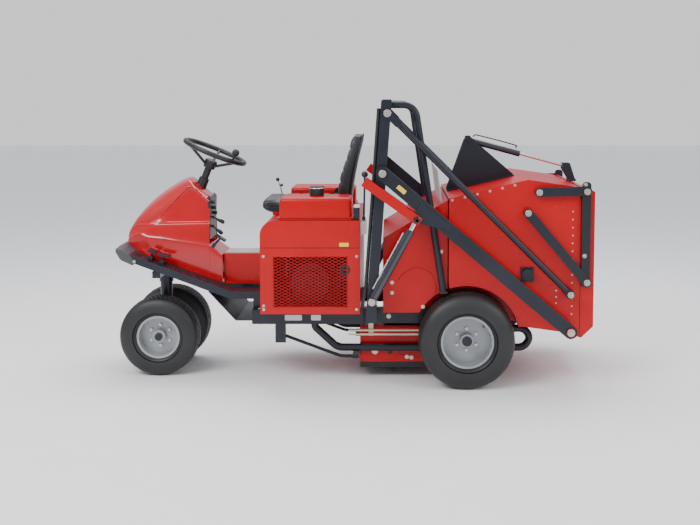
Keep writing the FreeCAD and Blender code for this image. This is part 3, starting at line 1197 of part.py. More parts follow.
doc.recompute()
for item in doc.Objects:
    if "Invalid" in item.State or "Error" in item.State:
        raise RuntimeError("failed feature: %s %s" % (item.Name, item.State))
for piece in finished:
    if piece.Shape.isNull() or not piece.Shape.isValid():
        raise RuntimeError("bad shape: %s" % piece.Label)
os.makedirs("parts", exist_ok=True)
for piece in finished:
    piece.Shape.exportStep(os.path.join("parts", piece.Label + ".step"))
    box = piece.Shape.BoundBox
    print("%-20s %2d solids  x %6.0f %6.0f  y %6.0f %6.0f  z %6.0f %6.0f" % (
        piece.Label, len(piece.Shape.Solids), box.XMin, box.XMax, box.YMin, box.YMax, box.ZMin, box.ZMax))
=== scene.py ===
import json
import math
import random

import bmesh
import bpy
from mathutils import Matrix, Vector
from mathutils.bvhtree import BVHTree


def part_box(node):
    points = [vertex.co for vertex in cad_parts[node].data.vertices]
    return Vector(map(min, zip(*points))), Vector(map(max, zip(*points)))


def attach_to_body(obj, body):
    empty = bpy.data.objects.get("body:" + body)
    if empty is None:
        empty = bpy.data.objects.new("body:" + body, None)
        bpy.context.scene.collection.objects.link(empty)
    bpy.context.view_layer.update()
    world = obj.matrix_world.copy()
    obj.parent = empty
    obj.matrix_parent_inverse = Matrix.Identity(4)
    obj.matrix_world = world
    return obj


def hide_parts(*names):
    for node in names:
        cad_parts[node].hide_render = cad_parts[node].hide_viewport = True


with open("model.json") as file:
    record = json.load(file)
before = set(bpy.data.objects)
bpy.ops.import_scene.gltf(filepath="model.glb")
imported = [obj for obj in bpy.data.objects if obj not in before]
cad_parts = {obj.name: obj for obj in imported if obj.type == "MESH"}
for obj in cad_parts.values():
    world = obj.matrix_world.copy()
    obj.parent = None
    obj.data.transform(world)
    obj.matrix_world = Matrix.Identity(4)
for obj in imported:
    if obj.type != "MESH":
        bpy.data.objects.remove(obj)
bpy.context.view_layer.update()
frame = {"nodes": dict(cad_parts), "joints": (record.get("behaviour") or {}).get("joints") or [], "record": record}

# The looks of a ride-on turf sweeper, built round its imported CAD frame. Metres, +Z up, the nose
# towards -X and the camera's side at -Y.

NODE_SLOT = {row["node"]: row["material_slot"] for row in frame["record"]["subparts"]}
NODE_BODY = {node: body for body, nodes in frame["record"]["behaviour"]["bodies"].items() for node in nodes}
JOINTS = {joint["name"]: joint for joint in frame["joints"]}
SIDES = (-1, 1)
NAMED_SIDES = ((-1, "near"), (1, "far"))
ACROSS = Vector((0, 1, 0))
UP = Vector((0, 0, 1))
MATERIALS = {}
SURFACES = {}


# ---- camera, light and floor ---------------------------------------------------------------

def make_camera():
    """The viewer stands level with the lift mast; a small shift frames the machine."""
    stand_off, eye_height, mast_x = 6.727, 1.768, 0.238
    look_down = math.radians(5)
    data = bpy.data.cameras.new("camera")
    data.sensor_width = 36
    data.lens = 53.6
    data.shift_x = -0.057
    data.shift_y = -0.109
    camera = bpy.data.objects.new("camera", data)
    camera.location = (mast_x, -stand_off, eye_height)
    camera.rotation_euler = (math.pi / 2 - look_down, 0, 0)
    bpy.context.scene.collection.objects.link(camera)
    bpy.context.scene.camera = camera


def make_light(name, place, target, size, power):
    data = bpy.data.lights.new(name, "AREA")
    data.shape = "RECTANGLE"
    data.size, data.size_y = size
    data.energy = power
    light = bpy.data.objects.new(name, data)
    light.location = place
    light.rotation_euler = (Vector(target) - Vector(place)).to_track_quat("-Z", "Y").to_euler()
    bpy.context.scene.collection.objects.link(light)


def make_studio():
    """A pale floor, a room that is dimmer near the ground, and three soft boxes."""
    middle = (0, 0, 0.8)
    make_light("key_light", (-3.4, -4.6, 5.2), middle, (3.6, 2.4), 300)
    make_light("fill_light", (4.6, -3.6, 3.2), middle, (2.6, 2.2), 90)
    make_light("top_light", (0.2, 1.6, 5.4), middle, (5.0, 3.0), 230)
    ground, sky, backdrop = (0.36, 0.37, 0.39, 1), (0.92, 0.94, 1.0, 1), (1.0, 1.0, 1.01, 1)
    world = bpy.data.worlds.new("room")
    world.use_nodes = True
    tree = world.node_tree
    place = add_node(tree, "TexCoord", {})
    split = add_node(tree, "SeparateXYZ", {"Vector": place.outputs["Generated"]})
    room = add_ramp(tree, split.outputs["Z"], ((0.03, ground), (0.42, sky)))
    seen = add_node(tree, "LightPath", {})
    mix = add_node(tree, "Mix", {"Factor": seen.outputs["Is Camera Ray"], "A": room, "B": backdrop},
                   data_type="RGBA")
    set_inputs(tree, tree.nodes["Background"], {"Color": mix.outputs["Result"]})
    bpy.context.scene.world = world
    reach = 30.0
    mesh = bpy.data.meshes.new("floor")
    mesh.from_pydata([(-reach, -reach, 0), (reach, -reach, 0), (reach, reach, 0), (-reach, reach, 0)],
                     [], [(0, 1, 2, 3)])
    floor = bpy.data.objects.new("floor", mesh)
    mesh.materials.append(paint("floor_paint", (0.93, 0.93, 0.93), 0.8, spread=0.01, bump=0.0))
    bpy.context.scene.collection.objects.link(floor)


# ---- materials -----------------------------------------------------------------------------

def set_inputs(tree, node, inputs):
    """Links each input that is given a socket and sets the rest."""
    for key, value in inputs.items():
        if isinstance(value, bpy.types.NodeSocket):
            tree.links.new(value, node.inputs[key])
        else:
            node.inputs[key].default_value = value


def add_node(tree, kind, inputs, **settings):
    """A shader node of this kind, its settings made before its inputs are set or linked."""
    node = tree.nodes.new("ShaderNode" + kind)
    for key, value in settings.items():
        setattr(node, key, value)
    set_inputs(tree, node, inputs)
    return node


def add_ramp(tree, factor, stops):
    """A ramp between two (position, colour) stops."""
    node = add_node(tree, "ValToRGB", {"Fac": factor})
    for element, (position, colour) in zip(node.color_ramp.elements, stops):
        element.position = position
        element.color = colour
    return node.outputs["Color"]


def shade(colour, factor):
    return tuple(min(1.0, part * factor) for part in colour) + (1,)


def edge_mask(tree, radius):
    """1 along sharp edges and 0 on flat faces: where paint wears through."""
    flat, sharp = 0.985, 0.80
    bevel = add_node(tree, "Bevel", {"Radius": radius}, samples=4)
    geometry = add_node(tree, "NewGeometry", {})
    turn = add_node(tree, "VectorMath", {0: bevel.outputs["Normal"], 1: geometry.outputs["Normal"]},
                    operation="DOT_PRODUCT")
    edge = add_node(tree, "MapRange", {"Value": turn.outputs["Value"], "From Min": flat, "From Max": sharp})
    return edge.outputs["Result"]


def paint(name, colour, rough, metal=0.0, coat=0.0, grain=90.0, bump=0.03, spread=0.08, wear=None,
          stretch=(1, 1, 1), cells=0.0, sheen=0.0, rough_spread=0.07, rounded=0.0, split=None, mirror=0.5):
    """A surface with uneven colour and gloss and a fine grain. wear is the colour of its worn edges, cells
    the size of leather grain, split an (x, colour) painted over everything ahead of x (on the deck this is
    painted shade under the rods, not a second paint), and mirror how strongly it reflects."""
    cloud, smear, scratch = 4.0, 11.0, 34.0
    narrowest_wear, relief_depth = 0.0015, 0.002
    material = bpy.data.materials.new(name)
    material.use_nodes = True
    tree = material.node_tree
    place = add_node(tree, "TexCoord", {}).outputs["Object"]
    scaled = add_node(tree, "Mapping", {"Vector": place, "Scale": stretch}).outputs["Vector"]

    def noise(size, detail):
        return add_node(tree, "TexNoise", {"Vector": scaled, "Scale": size, "Detail": detail}).outputs["Fac"]

    def mixed(factor, first, second):
        node = add_node(tree, "Mix", {"Factor": factor, "A": first, "B": second + (1,)}, data_type="RGBA")
        return node.outputs["Result"]

    darker, lighter = shade(colour, 1 - spread), shade(colour, 1 + spread)
    tone = add_ramp(tree, noise(cloud, 6), ((0.32, darker), (0.70, lighter)))
    # Ahead of split's x the colour is replaced outright; the deck uses this to paint the shade under the rods.
    if split is not None:
        axes = add_node(tree, "SeparateXYZ", {"Vector": place})
        ahead = add_node(tree, "Math", {0: axes.outputs["X"], 1: split[0]}, operation="LESS_THAN")
        tone = mixed(ahead.outputs["Value"], tone, split[1])
    if wear is not None:
        edge = edge_mask(tree, max(rounded, narrowest_wear))
        patch = add_node(tree, "Math", {0: edge, 1: noise(scratch, 5)}, operation="MULTIPLY")
        tone = mixed(patch.outputs["Value"], tone, wear)
    gloss = add_node(tree, "MapRange", {"Value": noise(smear, 5), "To Min": max(0.02, rough - rough_spread),
                                        "To Max": min(1.0, rough + rough_spread)})
    if cells:
        cell = add_node(tree, "TexVoronoi", {"Vector": scaled, "Scale": cells}, feature="DISTANCE_TO_EDGE")
        height = cell.outputs["Distance"]
    else:
        height = noise(grain, 3)
    relief = add_node(tree, "Bump", {"Height": height, "Strength": bump, "Distance": relief_depth})
    if rounded:
        soft_edge = add_node(tree, "Bevel", {"Radius": rounded}, samples=4)
        set_inputs(tree, relief, {"Normal": soft_edge.outputs["Normal"]})
    set_inputs(tree, tree.nodes["Principled BSDF"], {
        "Base Color": tone, "Roughness": gloss.outputs["Result"], "Normal": relief.outputs["Normal"],
        "Metallic": metal, "Coat Weight": coat, "Coat Roughness": 0.06, "Sheen Weight": sheen,
        "Specular IOR Level": mirror})
    MATERIALS[name] = material
    return material


def make_materials():
    """One finish for each of the record's slots, and a few for small trim."""
    red = (0.47, 0.0008, 0.0028)
    black = (0.0105, 0.0125, 0.021)
    # Ahead of this x the deck is painted black: painted shade under the rods, in front of the deck's real front
    # edge.
    under_rods_shade_x = 0.046
    paint("red_paint", red, 0.3, coat=0.12, spread=0.06, wear=(0.24, 0.004, 0.006), bump=0.02,
          rounded=0.0025, mirror=0.25)
    paint("deck_paint_and_shade", red, 0.34, coat=0.1, spread=0.08, wear=(0.2, 0.01, 0.01), bump=0.03,
          rounded=0.002, split=(under_rods_shade_x, black), mirror=0.25)
    paint("hood_shell", (0.50, 0.001, 0.006), 0.17, coat=0.8, mirror=0.3, spread=0.04, bump=0.01,
          grain=40, rough_spread=0.04)
    paint("frame_paint", black, 0.36, coat=0.1, mirror=0.35, spread=0.2, wear=(0.07, 0.072, 0.08),
          bump=0.05, grain=160, rounded=0.002)
    paint("tyre", (0.015, 0.015, 0.0165), 0.48, spread=0.22, bump=0.16, grain=240)
    paint("silver_paint", (0.33, 0.345, 0.36), 0.38, metal=0.3, spread=0.1, wear=(0.16, 0.14, 0.12),
          rounded=0.0015)
    paint("zinc", (0.56, 0.53, 0.46), 0.32, metal=0.9, spread=0.14, bump=0.06)
    paint("cast_metal", (0.022, 0.022, 0.024), 0.5, metal=0.3, spread=0.25, bump=0.3, grain=130,
          wear=(0.2, 0.2, 0.2), rounded=0.002)
    paint("chrome_rod", (0.80, 0.81, 0.83), 0.14, metal=1.0, spread=0.04, stretch=(1, 1, 8),
          rough_spread=0.04)
    paint("black_plastic", (0.012, 0.0125, 0.015), 0.42, spread=0.15, bump=0.12, grain=420)
    paint("grey_plastic", (0.06, 0.062, 0.066), 0.5, spread=0.12, bump=0.1, grain=380)
    paint("vinyl", (0.013, 0.014, 0.018), 0.38, spread=0.2, cells=420, bump=0.28, sheen=0.08)
    paint("rubber", (0.014, 0.014, 0.016), 0.6, spread=0.2, bump=0.1, grain=300)
    paint("bristle", (0.02, 0.02, 0.024), 0.5, spread=0.3, stretch=(1, 6, 1))
    paint("tread_plate", (0.5, 0.48, 0.48), 0.42, metal=0.2, spread=0.1, bump=0.2)
    paint("cream_pipe", (0.66, 0.60, 0.42), 0.3, coat=0.3, spread=0.06)
    paint("grey_flap", (0.5, 0.51, 0.53), 0.66, spread=0.08, bump=0.14, grain=200)
    paint("label_yellow", (0.82, 0.58, 0.02), 0.45, spread=0.03)
    paint("label_white", (0.66, 0.67, 0.69), 0.45, spread=0.03)
    paint("seam_dark", (0.05, 0.002, 0.003), 0.6, spread=0.1)
    paint("barrel_paint", (0.014, 0.019, 0.032), 0.25, coat=0.6, spread=0.12)


# ---- building pieces -----------------------------------------------------------------------

def attach(piece, body):
    """Puts a piece in the scene, riding on its body."""
    bpy.context.scene.collection.objects.link(piece)
    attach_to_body(piece, body)
    return piece


def from_bmesh(name, shape, material, body, crease=35):
    bmesh.ops.recalc_face_normals(shape, faces=shape.faces)
    mesh = bpy.data.meshes.new(name)
    shape.to_mesh(mesh)
    shape.free()
    mesh.validate()
    mesh.materials.append(MATERIALS[material])
    mesh.polygons.foreach_set("use_smooth", [True] * len(mesh.polygons))
    mesh.set_sharp_from_angle(angle=math.radians(crease))
    return attach(bpy.data.objects.new(name, mesh), body)


def circle(count, radius, start=0.0):
    """Points round a circle centred on (0, 0)."""
    turns = [start + 2 * math.pi * i / count for i in range(count)]
    return [(radius * math.cos(turn), radius * math.sin(turn)) for turn in turns]


def skin(shape, rings, closed=True, caps=(0, -1)):
    """Faces between rings of vertices, and over the rings that caps picks."""
    for here, after in zip(rings, rings[1:]):
        for i in range(len(here) if closed else len(here) - 1):
            k = (i + 1) % len(here)
            shape.faces.new((here[i], here[k], after[k], after[i]))
    for number in caps:
        shape.faces.new(rings[number])


def flat_sheet(shape, outline, y, thick):
    """A sheet of one outline of (x, z) points, standing across the machine at y."""
    skin(shape, [[shape.verts.new((x, level, z)) for x, z in outline] for level in (y, y + thick)])


def oblong(x0, z0, x1, z1):
    return [(x0, z0), (x1, z0), (x1, z1), (x0, z1)]


def lathe(name, profile, centre, material, body, steps=96, shift=None):
    """Turns an outline of (radius, offset) points about an axis along Y; shift may move a point."""
    shape = bmesh.new()
    rings = []
    for step in range(steps):
        turn = 2 * math.pi * step / steps
        ring = []
        for radius, offset in profile:
            if shift:
                radius += shift(radius, offset, turn)
            ring.append(shape.verts.new((centre[0] + radius * math.cos(turn), centre[1] + offset,
                                         centre[2] + radius * math.sin(turn))))
        rings.append(ring)
    skin(shape, rings + rings[:1], caps=())
    return from_bmesh(name, shape, material, body)


def turned(name, origin, axis, profile, material, body, around=32):
    """A round piece about any axis, through (radius, distance along the axis) points, closed at its ends."""
    turn = axis.to_track_quat("Z", "Y").to_matrix()
    shape = bmesh.new()
    skin(shape, [[shape.verts.new(origin + turn @ Vector((u, v, depth))) for u, v in circle(around, radius)]
                 for radius, depth in profile])
    return from_bmesh(name, shape, material, body)


def tube(name, points, radius, material, body, closed=False, smooth=True):
    """A round tube along a smooth line through a few points."""
    data = bpy.data.curves.new(name, "CURVE")
    data.dimensions = "3D"
    data.bevel_depth = radius
    data.bevel_resolution = 5
    data.resolution_u = 10
    data.use_fill_caps = True
    spline = data.splines.new("NURBS" if smooth else "POLY")
    spline.points.add(len(points) - 1)
    for point, place in zip(spline.points, points):
        point.co = (*place, 1)
    if smooth:
        spline.order_u = 3
        spline.use_endpoint_u = not closed
    spline.use_cyclic_u = closed
    data.materials.append(MATERIALS[material])
    return attach(bpy.data.objects.new(name, data), body)


def rounded_box(shape, low, high, radius):
    """A box with rounded edges."""
    made = bmesh.ops.create_cube(shape, size=1)["verts"]
    for vert in made:
        vert.co = Vector((low[i] if vert.co[i] < 0 else high[i] for i in range(3)))
    edges = {edge for vert in made for edge in vert.link_edges
             if any(end.co.z > low[2] for end in edge.verts)}
    bmesh.ops.bevel(shape, geom=list(edges), offset=radius, segments=5, profile=0.5, affect="EDGES")


def surface_tree(mesh):
    return BVHTree.FromPolygons([v.co for v in mesh.vertices], [tuple(p.vertices) for p in mesh.polygons])


def seat_y(node, x, z, side):
    """The outermost surface of a CAD node at (x, z), seen from one side, or None."""
    if node not in SURFACES:
        SURFACES[node] = surface_tree(frame["nodes"][node].data)
    hit = SURFACES[node].ray_cast(Vector((x, side * 3, z)), Vector((0, -side, 0)))
    return None if hit[0] is None else hit[0].y


def outermost(nodes, x, z, side, radius):
    """The furthest-out surface of any of the nodes under a fastener of this radius."""
    places = [(x, z)] + [(x + u, z + v) for u, v in circle(4, radius)]
    hits = [seat_y(node, u, v, side) for node in nodes for u, v in places]
    return side * max(side * y for y in hits if y is not None)


def add_hex(shape, x, y, z, side, radius, washer=1.45):
    """A washer and a hex head with a chamfered crown, standing on the surface y."""
    def ring(count, size, depth):
        return [shape.verts.new((x + u, y + side * depth, z + v)) for u, v in circle(count, size)]

    flange = radius * washer
    sunk = 0.0005
    skin(shape, [ring(24, flange, -sunk), ring(24, flange, radius * 0.16),
                 ring(24, flange * 0.94, radius * 0.22)], caps=(-1,))
    skin(shape, [ring(6, radius, radius * 0.2), ring(6, radius, radius * 0.72),
                 ring(6, radius * 0.84, radius * 0.86)], caps=(-1,))


def bolt_heads(name, seats, radius, body, washer=1.45):
    """Hex heads on (x, y, z, side) seats; a place with no surface under it has no y and gets none."""
    shape = bmesh.new()
    for x, y, z, side in seats:
        if y is not None:
            add_hex(shape, x, y, z, side, radius, washer)
    from_bmesh(name, shape, "zinc", body, crease=25)


def fasteners(name, node, places, radius, sides=SIDES):
    """Hex heads seated on a CAD node where a line across the machine meets it."""
    bolt_heads(name, [(x, seat_y(node, x, z, side), z, side) for side in sides for x, z in places],
               radius, NODE_BODY[node])


def spots(node, shares):
    """Points of a node's side, given as shares of its box along X and Z."""
    low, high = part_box(node)
    return [(low.x + u * (high.x - low.x), low.z + v * (high.z - low.z)) for u, v in shares]


def plate(name, node, x, z, width, height, material, tilt=0.0):
    """A thin blank label with rounded corners, lying on a node's near side."""
    side, thick = -1, 0.0012
    corner = min(width, height) * 0.15
    outline = []
    for cx, cz, start in ((1, 1, 0), (-1, 1, 90), (-1, -1, 180), (1, -1, 270)):
        for step in range(5):
            turn = math.radians(start + step * 22.5)
            u = cx * (width / 2 - corner) + corner * math.cos(turn)
            v = cz * (height / 2 - corner) + corner * math.sin(turn)
            outline.append((x + u * math.cos(tilt) - v * math.sin(tilt),
                            z + u * math.sin(tilt) + v * math.cos(tilt)))
    shape = bmesh.new()
    flat_sheet(shape, outline, seat_y(node, x, z, side), side * thick)
    from_bmesh(name, shape, material, NODE_BODY[node])


# ---- wheels --------------------------------------------------------------------------------

def make_tyre(node, rows, blocks):
    """A balloon turf tyre: round shoulders, raised sidewall rings and low staggered tread blocks."""
    low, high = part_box(node)
    centre = (low + high) / 2
    outer = (high.z - low.z) / 2
    half = (high.y - low.y) / 2
    rim_low, rim_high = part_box(node.replace("tyre", "rim"))
    bead = (rim_high.z - rim_low.z) / 2 - 0.014
    wall_foot = bead + 0.030
    crown = half * 0.50
    crown_drop, tread_depth = 0.004, 0.0045
    steps = 12
    side_wall = [(bead, half * 0.70), (bead + 0.010, half * 0.80), (bead + 0.018, half * 0.90),
                 (bead + 0.023, half * 0.925), (bead + 0.028, half * 0.905)]
    for step in range(steps + 1):
        turn = math.radians(90 * step / steps)
        side_wall.append((wall_foot + (outer - crown_drop - wall_foot) * math.sin(turn) ** 1.2,
                          crown + (half - crown) * math.cos(turn) ** 0.75))
    shares = [1 - i / steps for i in range(1, 2 * steps)]
    tread = [(outer - crown_drop * share ** 2, crown * share) for share in shares]
    inner = outer * 0.9 - 0.02
    inside = [(bead + 0.02, -half * 0.6), (inner, -half * 0.5), (inner, half * 0.5),
              (bead + 0.02, half * 0.6)]
    profile = side_wall + tread + [(r, -y) for r, y in side_wall[::-1]] + inside

    def cut_tread(radius, offset, turn):
        if radius < outer - 0.012 or abs(offset) > half * 0.62:
            return 0.0
        lane = (offset / half + 1) * rows / 2
        stagger = 0.5 * (int(lane) % 2)
        across = abs(lane - int(lane) - 0.5) > 0.38
        around = abs((turn / (2 * math.pi) * blocks + stagger) % 1 - 0.5) > 0.40
        return -tread_depth if across or around else 0.0

    tyre = lathe(node + "_skin", profile, centre, "tyre", NODE_BODY[node], steps=288, shift=cut_tread)
    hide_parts(node)


def make_wheel_trim(node, hub_share, cap, finish):
    """A hub centre (on the rear rims a flat black disc: partly the bearing, partly painted shade inside the open
    hub), nuts on studs and a valve stem on the rim's outer side.
    """
    low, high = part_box(node)
    centre = (low + high) / 2
    side = -1 if centre.y < 0 else 1
    body = NODE_BODY[node]
    radius = (high.z - low.z) / 2
    face = centre.y + side * (high.y - low.y) / 2 * hub_share
    lathe(node + "_hub_centre", [(r, side * y) for r, y in cap], (centre.x, face, centre.z), finish, body,
          steps=48)
    stud_circle = 0.066
    studs = [(centre.x + u, centre.z + v) for u, v in circle(6, stud_circle, math.radians(30))]
    bolt_heads(node + "_nuts", [(x, seat_y(node, x, z, side), z, side) for x, z in studs], 0.0095, body, 1.25)
    x, z = centre.x + radius * 0.62, centre.z + radius * 0.45
    y = seat_y(node, x, z, side)
    stem = [(x, y + side * out, z + rise) for out, rise in ((0, 0), (0.012, 0.002), (0.030, 0.006))]
    tube(node + "_valve", stem, 0.004, "rubber", body)


def make_wheels():
    grease_cap = [(0.0005, 0.016), (0.014, 0.016), (0.018, 0.012), (0.019, 0.003), (0.026, 0.002),
                  (0.030, 0.006), (0.034, 0.006), (0.037, 0.0), (0.037, -0.008), (0.0005, -0.008)]
    # The rear hub centre: a flat black disc that stands for the bearing and paints the shade inside the open hub.
    shaded_hole_disc = [(0.0005, -0.004), (0.012, -0.004), (0.013, 0.003), (0.030, 0.003), (0.033, 0.0),
                (0.033, -0.006), (0.0005, -0.006)]
    for side in ("left", "right"):
        make_tyre("front_%s_tyre" % side, 7, 52)
        make_tyre("rear_%s_tyre" % side, 9, 60)
        make_wheel_trim("front_%s_rim" % side, 0.70, grease_cap, "silver_paint")
        make_wheel_trim("rear_%s_rim" % side, 0.56, shaded_hole_disc, "black_plastic")


# ---- nose ----------------------------------------------------------------------------------

def blend_line(points, x):
    """The height of a line of (x, z) points at x."""
    if x <= points[0][0]:
        return points[0][1]
    for (x0, z0), (x1, z1) in zip(points, points[1:]):
        if x <= x1:
            return z0 + (z1 - z0) * (x - x0) / (x1 - x0)
    return points[-1][1]


def smooth_step(value, start, end):
    share = max(0.0, min(1.0, (value - start) / (end - start)))
    return share * share * (3 - 2 * share)


def hood_section(lows, x, sill, ridge, width):
    """Half the nose cover's outline at x, from its sill up to the ridge, as (y, z) points."""
    waist = blend_line([(lows.x + 0.12, sill + 0.15), (lows.x + 0.20, lows.z + 0.274),
                        (lows.x + 0.54, lows.z + 0.221)], x)
    ledge = blend_line([(lows.x + 0.12, lows.z + 0.340), (lows.x + 0.22, lows.z + 0.357),
                        (lows.x + 0.52, lows.z + 0.363)], x)
    roof = blend_line([(lows.x + 0.20, ledge + 0.015), (lows.x + 0.43, lows.z + 0.608),
                       (lows.x + 0.54, lows.z + 0.520)], x)
    waist = min(waist, sill + 0.55 * (ridge - sill))
    ledge = min(max(ledge, waist + 0.03), sill + 0.74 * (ridge - sill))
    roof = min(max(roof, ledge + 0.02), ridge - 0.042)
    roof = max(roof, ledge + 0.012)
    dent = 0.013 * smooth_step(x, lows.x + 0.17, lows.x + 0.27)
    sunk = width - dent
    shoulder = ridge - roof
    lower = [(width, sill), (width, sill + 0.006), (width + 0.001, (sill + waist) / 2),
             (width, waist - 0.010), (width - 0.001, waist - 0.003), (width - 0.007, waist + 0.004),
             (width - 0.012, (waist + ledge) / 2), (width - 0.017, ledge - 0.008),
             (width - 0.019, ledge - 0.002)]
    panel = [(sunk - 0.019, ledge + 0.004), (sunk - 0.021, ledge + 0.010), (sunk - 0.025, (ledge + roof) / 2),
             (sunk - 0.030, roof - 0.006), (sunk - 0.030, roof)]
    upper = [(width - 0.030, roof + 0.006), (width - 0.034, roof + 0.2 * shoulder),
             (width * 0.66, roof + 0.66 * shoulder), (width * 0.36, ridge - 0.10 * shoulder), (0.0, ridge)]
    return lower + panel + upper


def make_hood():
    """The moulded nose cover with its sunk upper panels and waist crease, and the low skirt behind it."""
    low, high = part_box("front_hood")
    length, height, half = high.x - low.x, high.z - low.z, (high.y - low.y) / 2

    def line(*shares):
        return [(low.x + u * length, low.z + v * height) for u, v in shares]

    ridge = line((0, 0.44), (0.03, 0.50), (0.085, 0.585), (0.16, 0.675), (0.24, 0.755), (0.34, 0.835),
                 (0.44, 0.90), (0.54, 0.955), (0.63, 0.993), (0.66, 0.99), (0.70, 0.955), (0.78, 0.87),
                 (0.867, 0.81))
    sill = line((0, 0.275), (0.17, 0.215), (0.46, 0.125), (1.0, -0.035))
    skirt_top = line((0.84, 0.345), (0.867, 0.338), (1.0, 0.245))
    nose_length = 0.32
    shape = bmesh.new()

    def mirrored(points, x):
        whole = [(-y, z) for y, z in points] + [(y, z) for y, z in points[-2::-1]]
        return [shape.verts.new((x, y, z)) for y, z in whole]

    rings = []
    for share in (0, 0.006, 0.016, 0.032, 0.055, 0.085, 0.12, 0.16, 0.205, 0.25, 0.30, 0.36, 0.42, 0.48, 0.54,
                  0.59, 0.63, 0.66, 0.70, 0.75, 0.80, 0.845, 0.862, 0.867):
        x = low.x + share * length
        nose = min(1.0, share / nose_length)
        width = half * (0.50 + 0.50 * math.sin(nose * math.pi / 2) ** 0.75)
        rings.append(mirrored(hood_section(low, x, blend_line(sill, x), blend_line(ridge, x), width), x))
    skin(shape, rings, closed=False, caps=(0,))
    rings = []
    inset = half - 0.0012
    for share in (0.845, 0.86, 0.88, 0.92, 0.96, 0.99, 1.0):
        x = low.x + share * length
        foot, top = blend_line(sill, x), blend_line(skirt_top, x)
        rings.append(mirrored([(inset, foot), (inset, foot + 0.006), (inset, (foot + top) / 2),
                               (inset, top - 0.014), (inset - 0.004, top - 0.004), (inset - 0.014, top),
                               (inset * 0.5, top), (0, top)], x))
    skin(shape, rings, closed=False, caps=())
    hood = from_bmesh("front_hood_shell", shape, "hood_shell", "chassis", crease=60)
    thick = hood.modifiers.new("thick", "SOLIDIFY")
    thick.thickness = 0.004
    thick.offset = -1
    smooth = hood.modifiers.new("smooth", "SUBSURF")
    smooth.levels = smooth.render_levels = 2
    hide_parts("front_hood")
    for side, name in NAMED_SIDES:
        edge = [(low.x + s * length, side * half, blend_line(sill, low.x + s * length) + 0.003)
                for s in (0.32, 0.46, 0.6, 0.75, 0.9, 1.0)]
        tube("hood_edge_" + name, edge, 0.004, "rubber", "chassis")


def make_steering_trim():
    """A cap on the wheel's hub, a grip round its rim, a sleeve on the column and grips on the dash levers."""
    joint = JOINTS["steering_wheel_turn"]
    axis = Vector(joint["axis"]).normalized()
    foot = Vector(joint["pos_m"])
    hub_top = 0.184
    turned("steering_cap", foot + axis * hub_top, axis,
           [(0.040, -0.004), (0.042, 0.004), (0.038, 0.014), (0.024, 0.021), (0.006, 0.023)],
           "black_plastic", "steering")
    wheel_low, wheel_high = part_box("steering_wheel")
    rim_radius, grip = 0.013, 0.0035
    middle = foot + axis * ((wheel_low.x + wheel_high.x) / 2 - foot.x) / axis.x
    level = axis.cross(ACROSS).normalized()
    rim = [middle + level * u + ACROSS * v for u, v in circle(36, wheel_high.y - rim_radius)]
    tube("steering_grip", rim, rim_radius + grip, "black_plastic", "steering", closed=True)
    turned("column_sleeve", foot, axis,
           [(0.050, -0.030), (0.050, -0.012), (0.044, -0.004), (0.0345, 0.004), (0.0335, 0.030),
            (0.0325, 0.075)], "black_plastic", "chassis")
    swell = ((0.005, 0.34), (0.0085, 0.40), (0.0105, 0.62), (0.0120, 0.90), (0.0105, 1.04), (0.005, 1.09))
    for swing, node, body in (("throttle_swing", "throttle_lever", "throttle"),
                              ("brush_control_swing", "brush_lever", "brush_control")):
        low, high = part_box(node)
        start = Vector(JOINTS[swing]["pos_m"])
        tip = Vector((high.x - 0.008, (low.y + high.y) / 2, low.z + 0.008))
        start.y = tip.y
        length = (tip - start).length
        turned(node + "_grip", start, (tip - start).normalized(), [(r, length * share) for r, share in swell],
               "black_plastic", body, around=20)


def make_nose_lip():
    """The grey moulding that wraps the front of the frame under the nose."""
    low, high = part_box("front_bumper")
    outline = [(low.x + 0.012, high.z + 0.006), (low.x + 0.006, high.z - 0.020),
               (low.x + 0.036, low.z - 0.006), (low.x + 0.112, low.z - 0.042),
               (low.x + 0.126, low.z - 0.016), (low.x + 0.100, low.z + 0.020),
               (low.x + 0.044, high.z - 0.006)]
    overlap = 0.006
    shape = bmesh.new()
    flat_sheet(shape, outline, low.y - overlap, high.y - low.y + 2 * overlap)
    bmesh.ops.recalc_face_normals(shape, faces=shape.faces)
    bmesh.ops.bevel(shape, geom=list(shape.edges), offset=0.007, segments=4, profile=0.5, affect="EDGES")
    from_bmesh("nose_lip", shape, "grey_plastic", "chassis", crease=50)


def make_tunnel_strip():
    """A black foot strip each side of the tunnel, where it meets the step plates."""
    low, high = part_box("tunnel_cover")
    shape = bmesh.new()
    for side in SIDES:
        flat_sheet(shape, oblong(low.x + 0.004, low.z - 0.006, high.x, low.z + 0.020),
                   side * (high.y + 0.001), side * 0.003)
    from_bmesh("tunnel_foot_strips", shape, "frame_paint", "chassis")


# ---- engine bay ----------------------------------------------------------------------------

def make_tanks():
    """The pressed fuel tank and tool box: round-cornered shells on a flanged foot, the tank with its neck."""
    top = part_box("tool_box")[1].z
    inset = 0.010
    for node in ("fuel_tank", "tool_box"):
        low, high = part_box(node)
        foot = low.z + 0.016
        shape = bmesh.new()
        rounded_box(shape, (low.x + inset, low.y + 0.005, foot - 0.004),
                    (high.x - inset, high.y - 0.005, top), 0.026)
        rounded_box(shape, (low.x, low.y, foot - 0.003), (high.x, high.y, foot + 0.003), 0.0012)
        rounded_box(shape, (low.x + inset, low.y + 0.006, low.z),
                    (high.x - inset, high.y - 0.006, foot), 0.002)
        shell = from_bmesh(node + "_shell", shape, "red_paint", "chassis", crease=40)
        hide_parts(node)
    cap_low, cap_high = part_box("filler_cap")
    middle = (cap_low + cap_high) / 2
    neck = (cap_high.x - cap_low.x) / 2 - 0.003
    turned("filler_neck", Vector((middle.x, middle.y, top - 0.004)), UP,
           [(neck, 0.0), (neck, 0.024), (neck - 0.003, 0.027), (neck - 0.006, 0.028)], "red_paint",
           "chassis", 40)
    ring = [(middle.x + u, middle.y + v, cap_high.z - 0.010) for u, v in circle(36, neck + 0.004)]
    tube("filler_cap_rim", ring, 0.0035, "chrome_rod", "fuel_cap", closed=True)


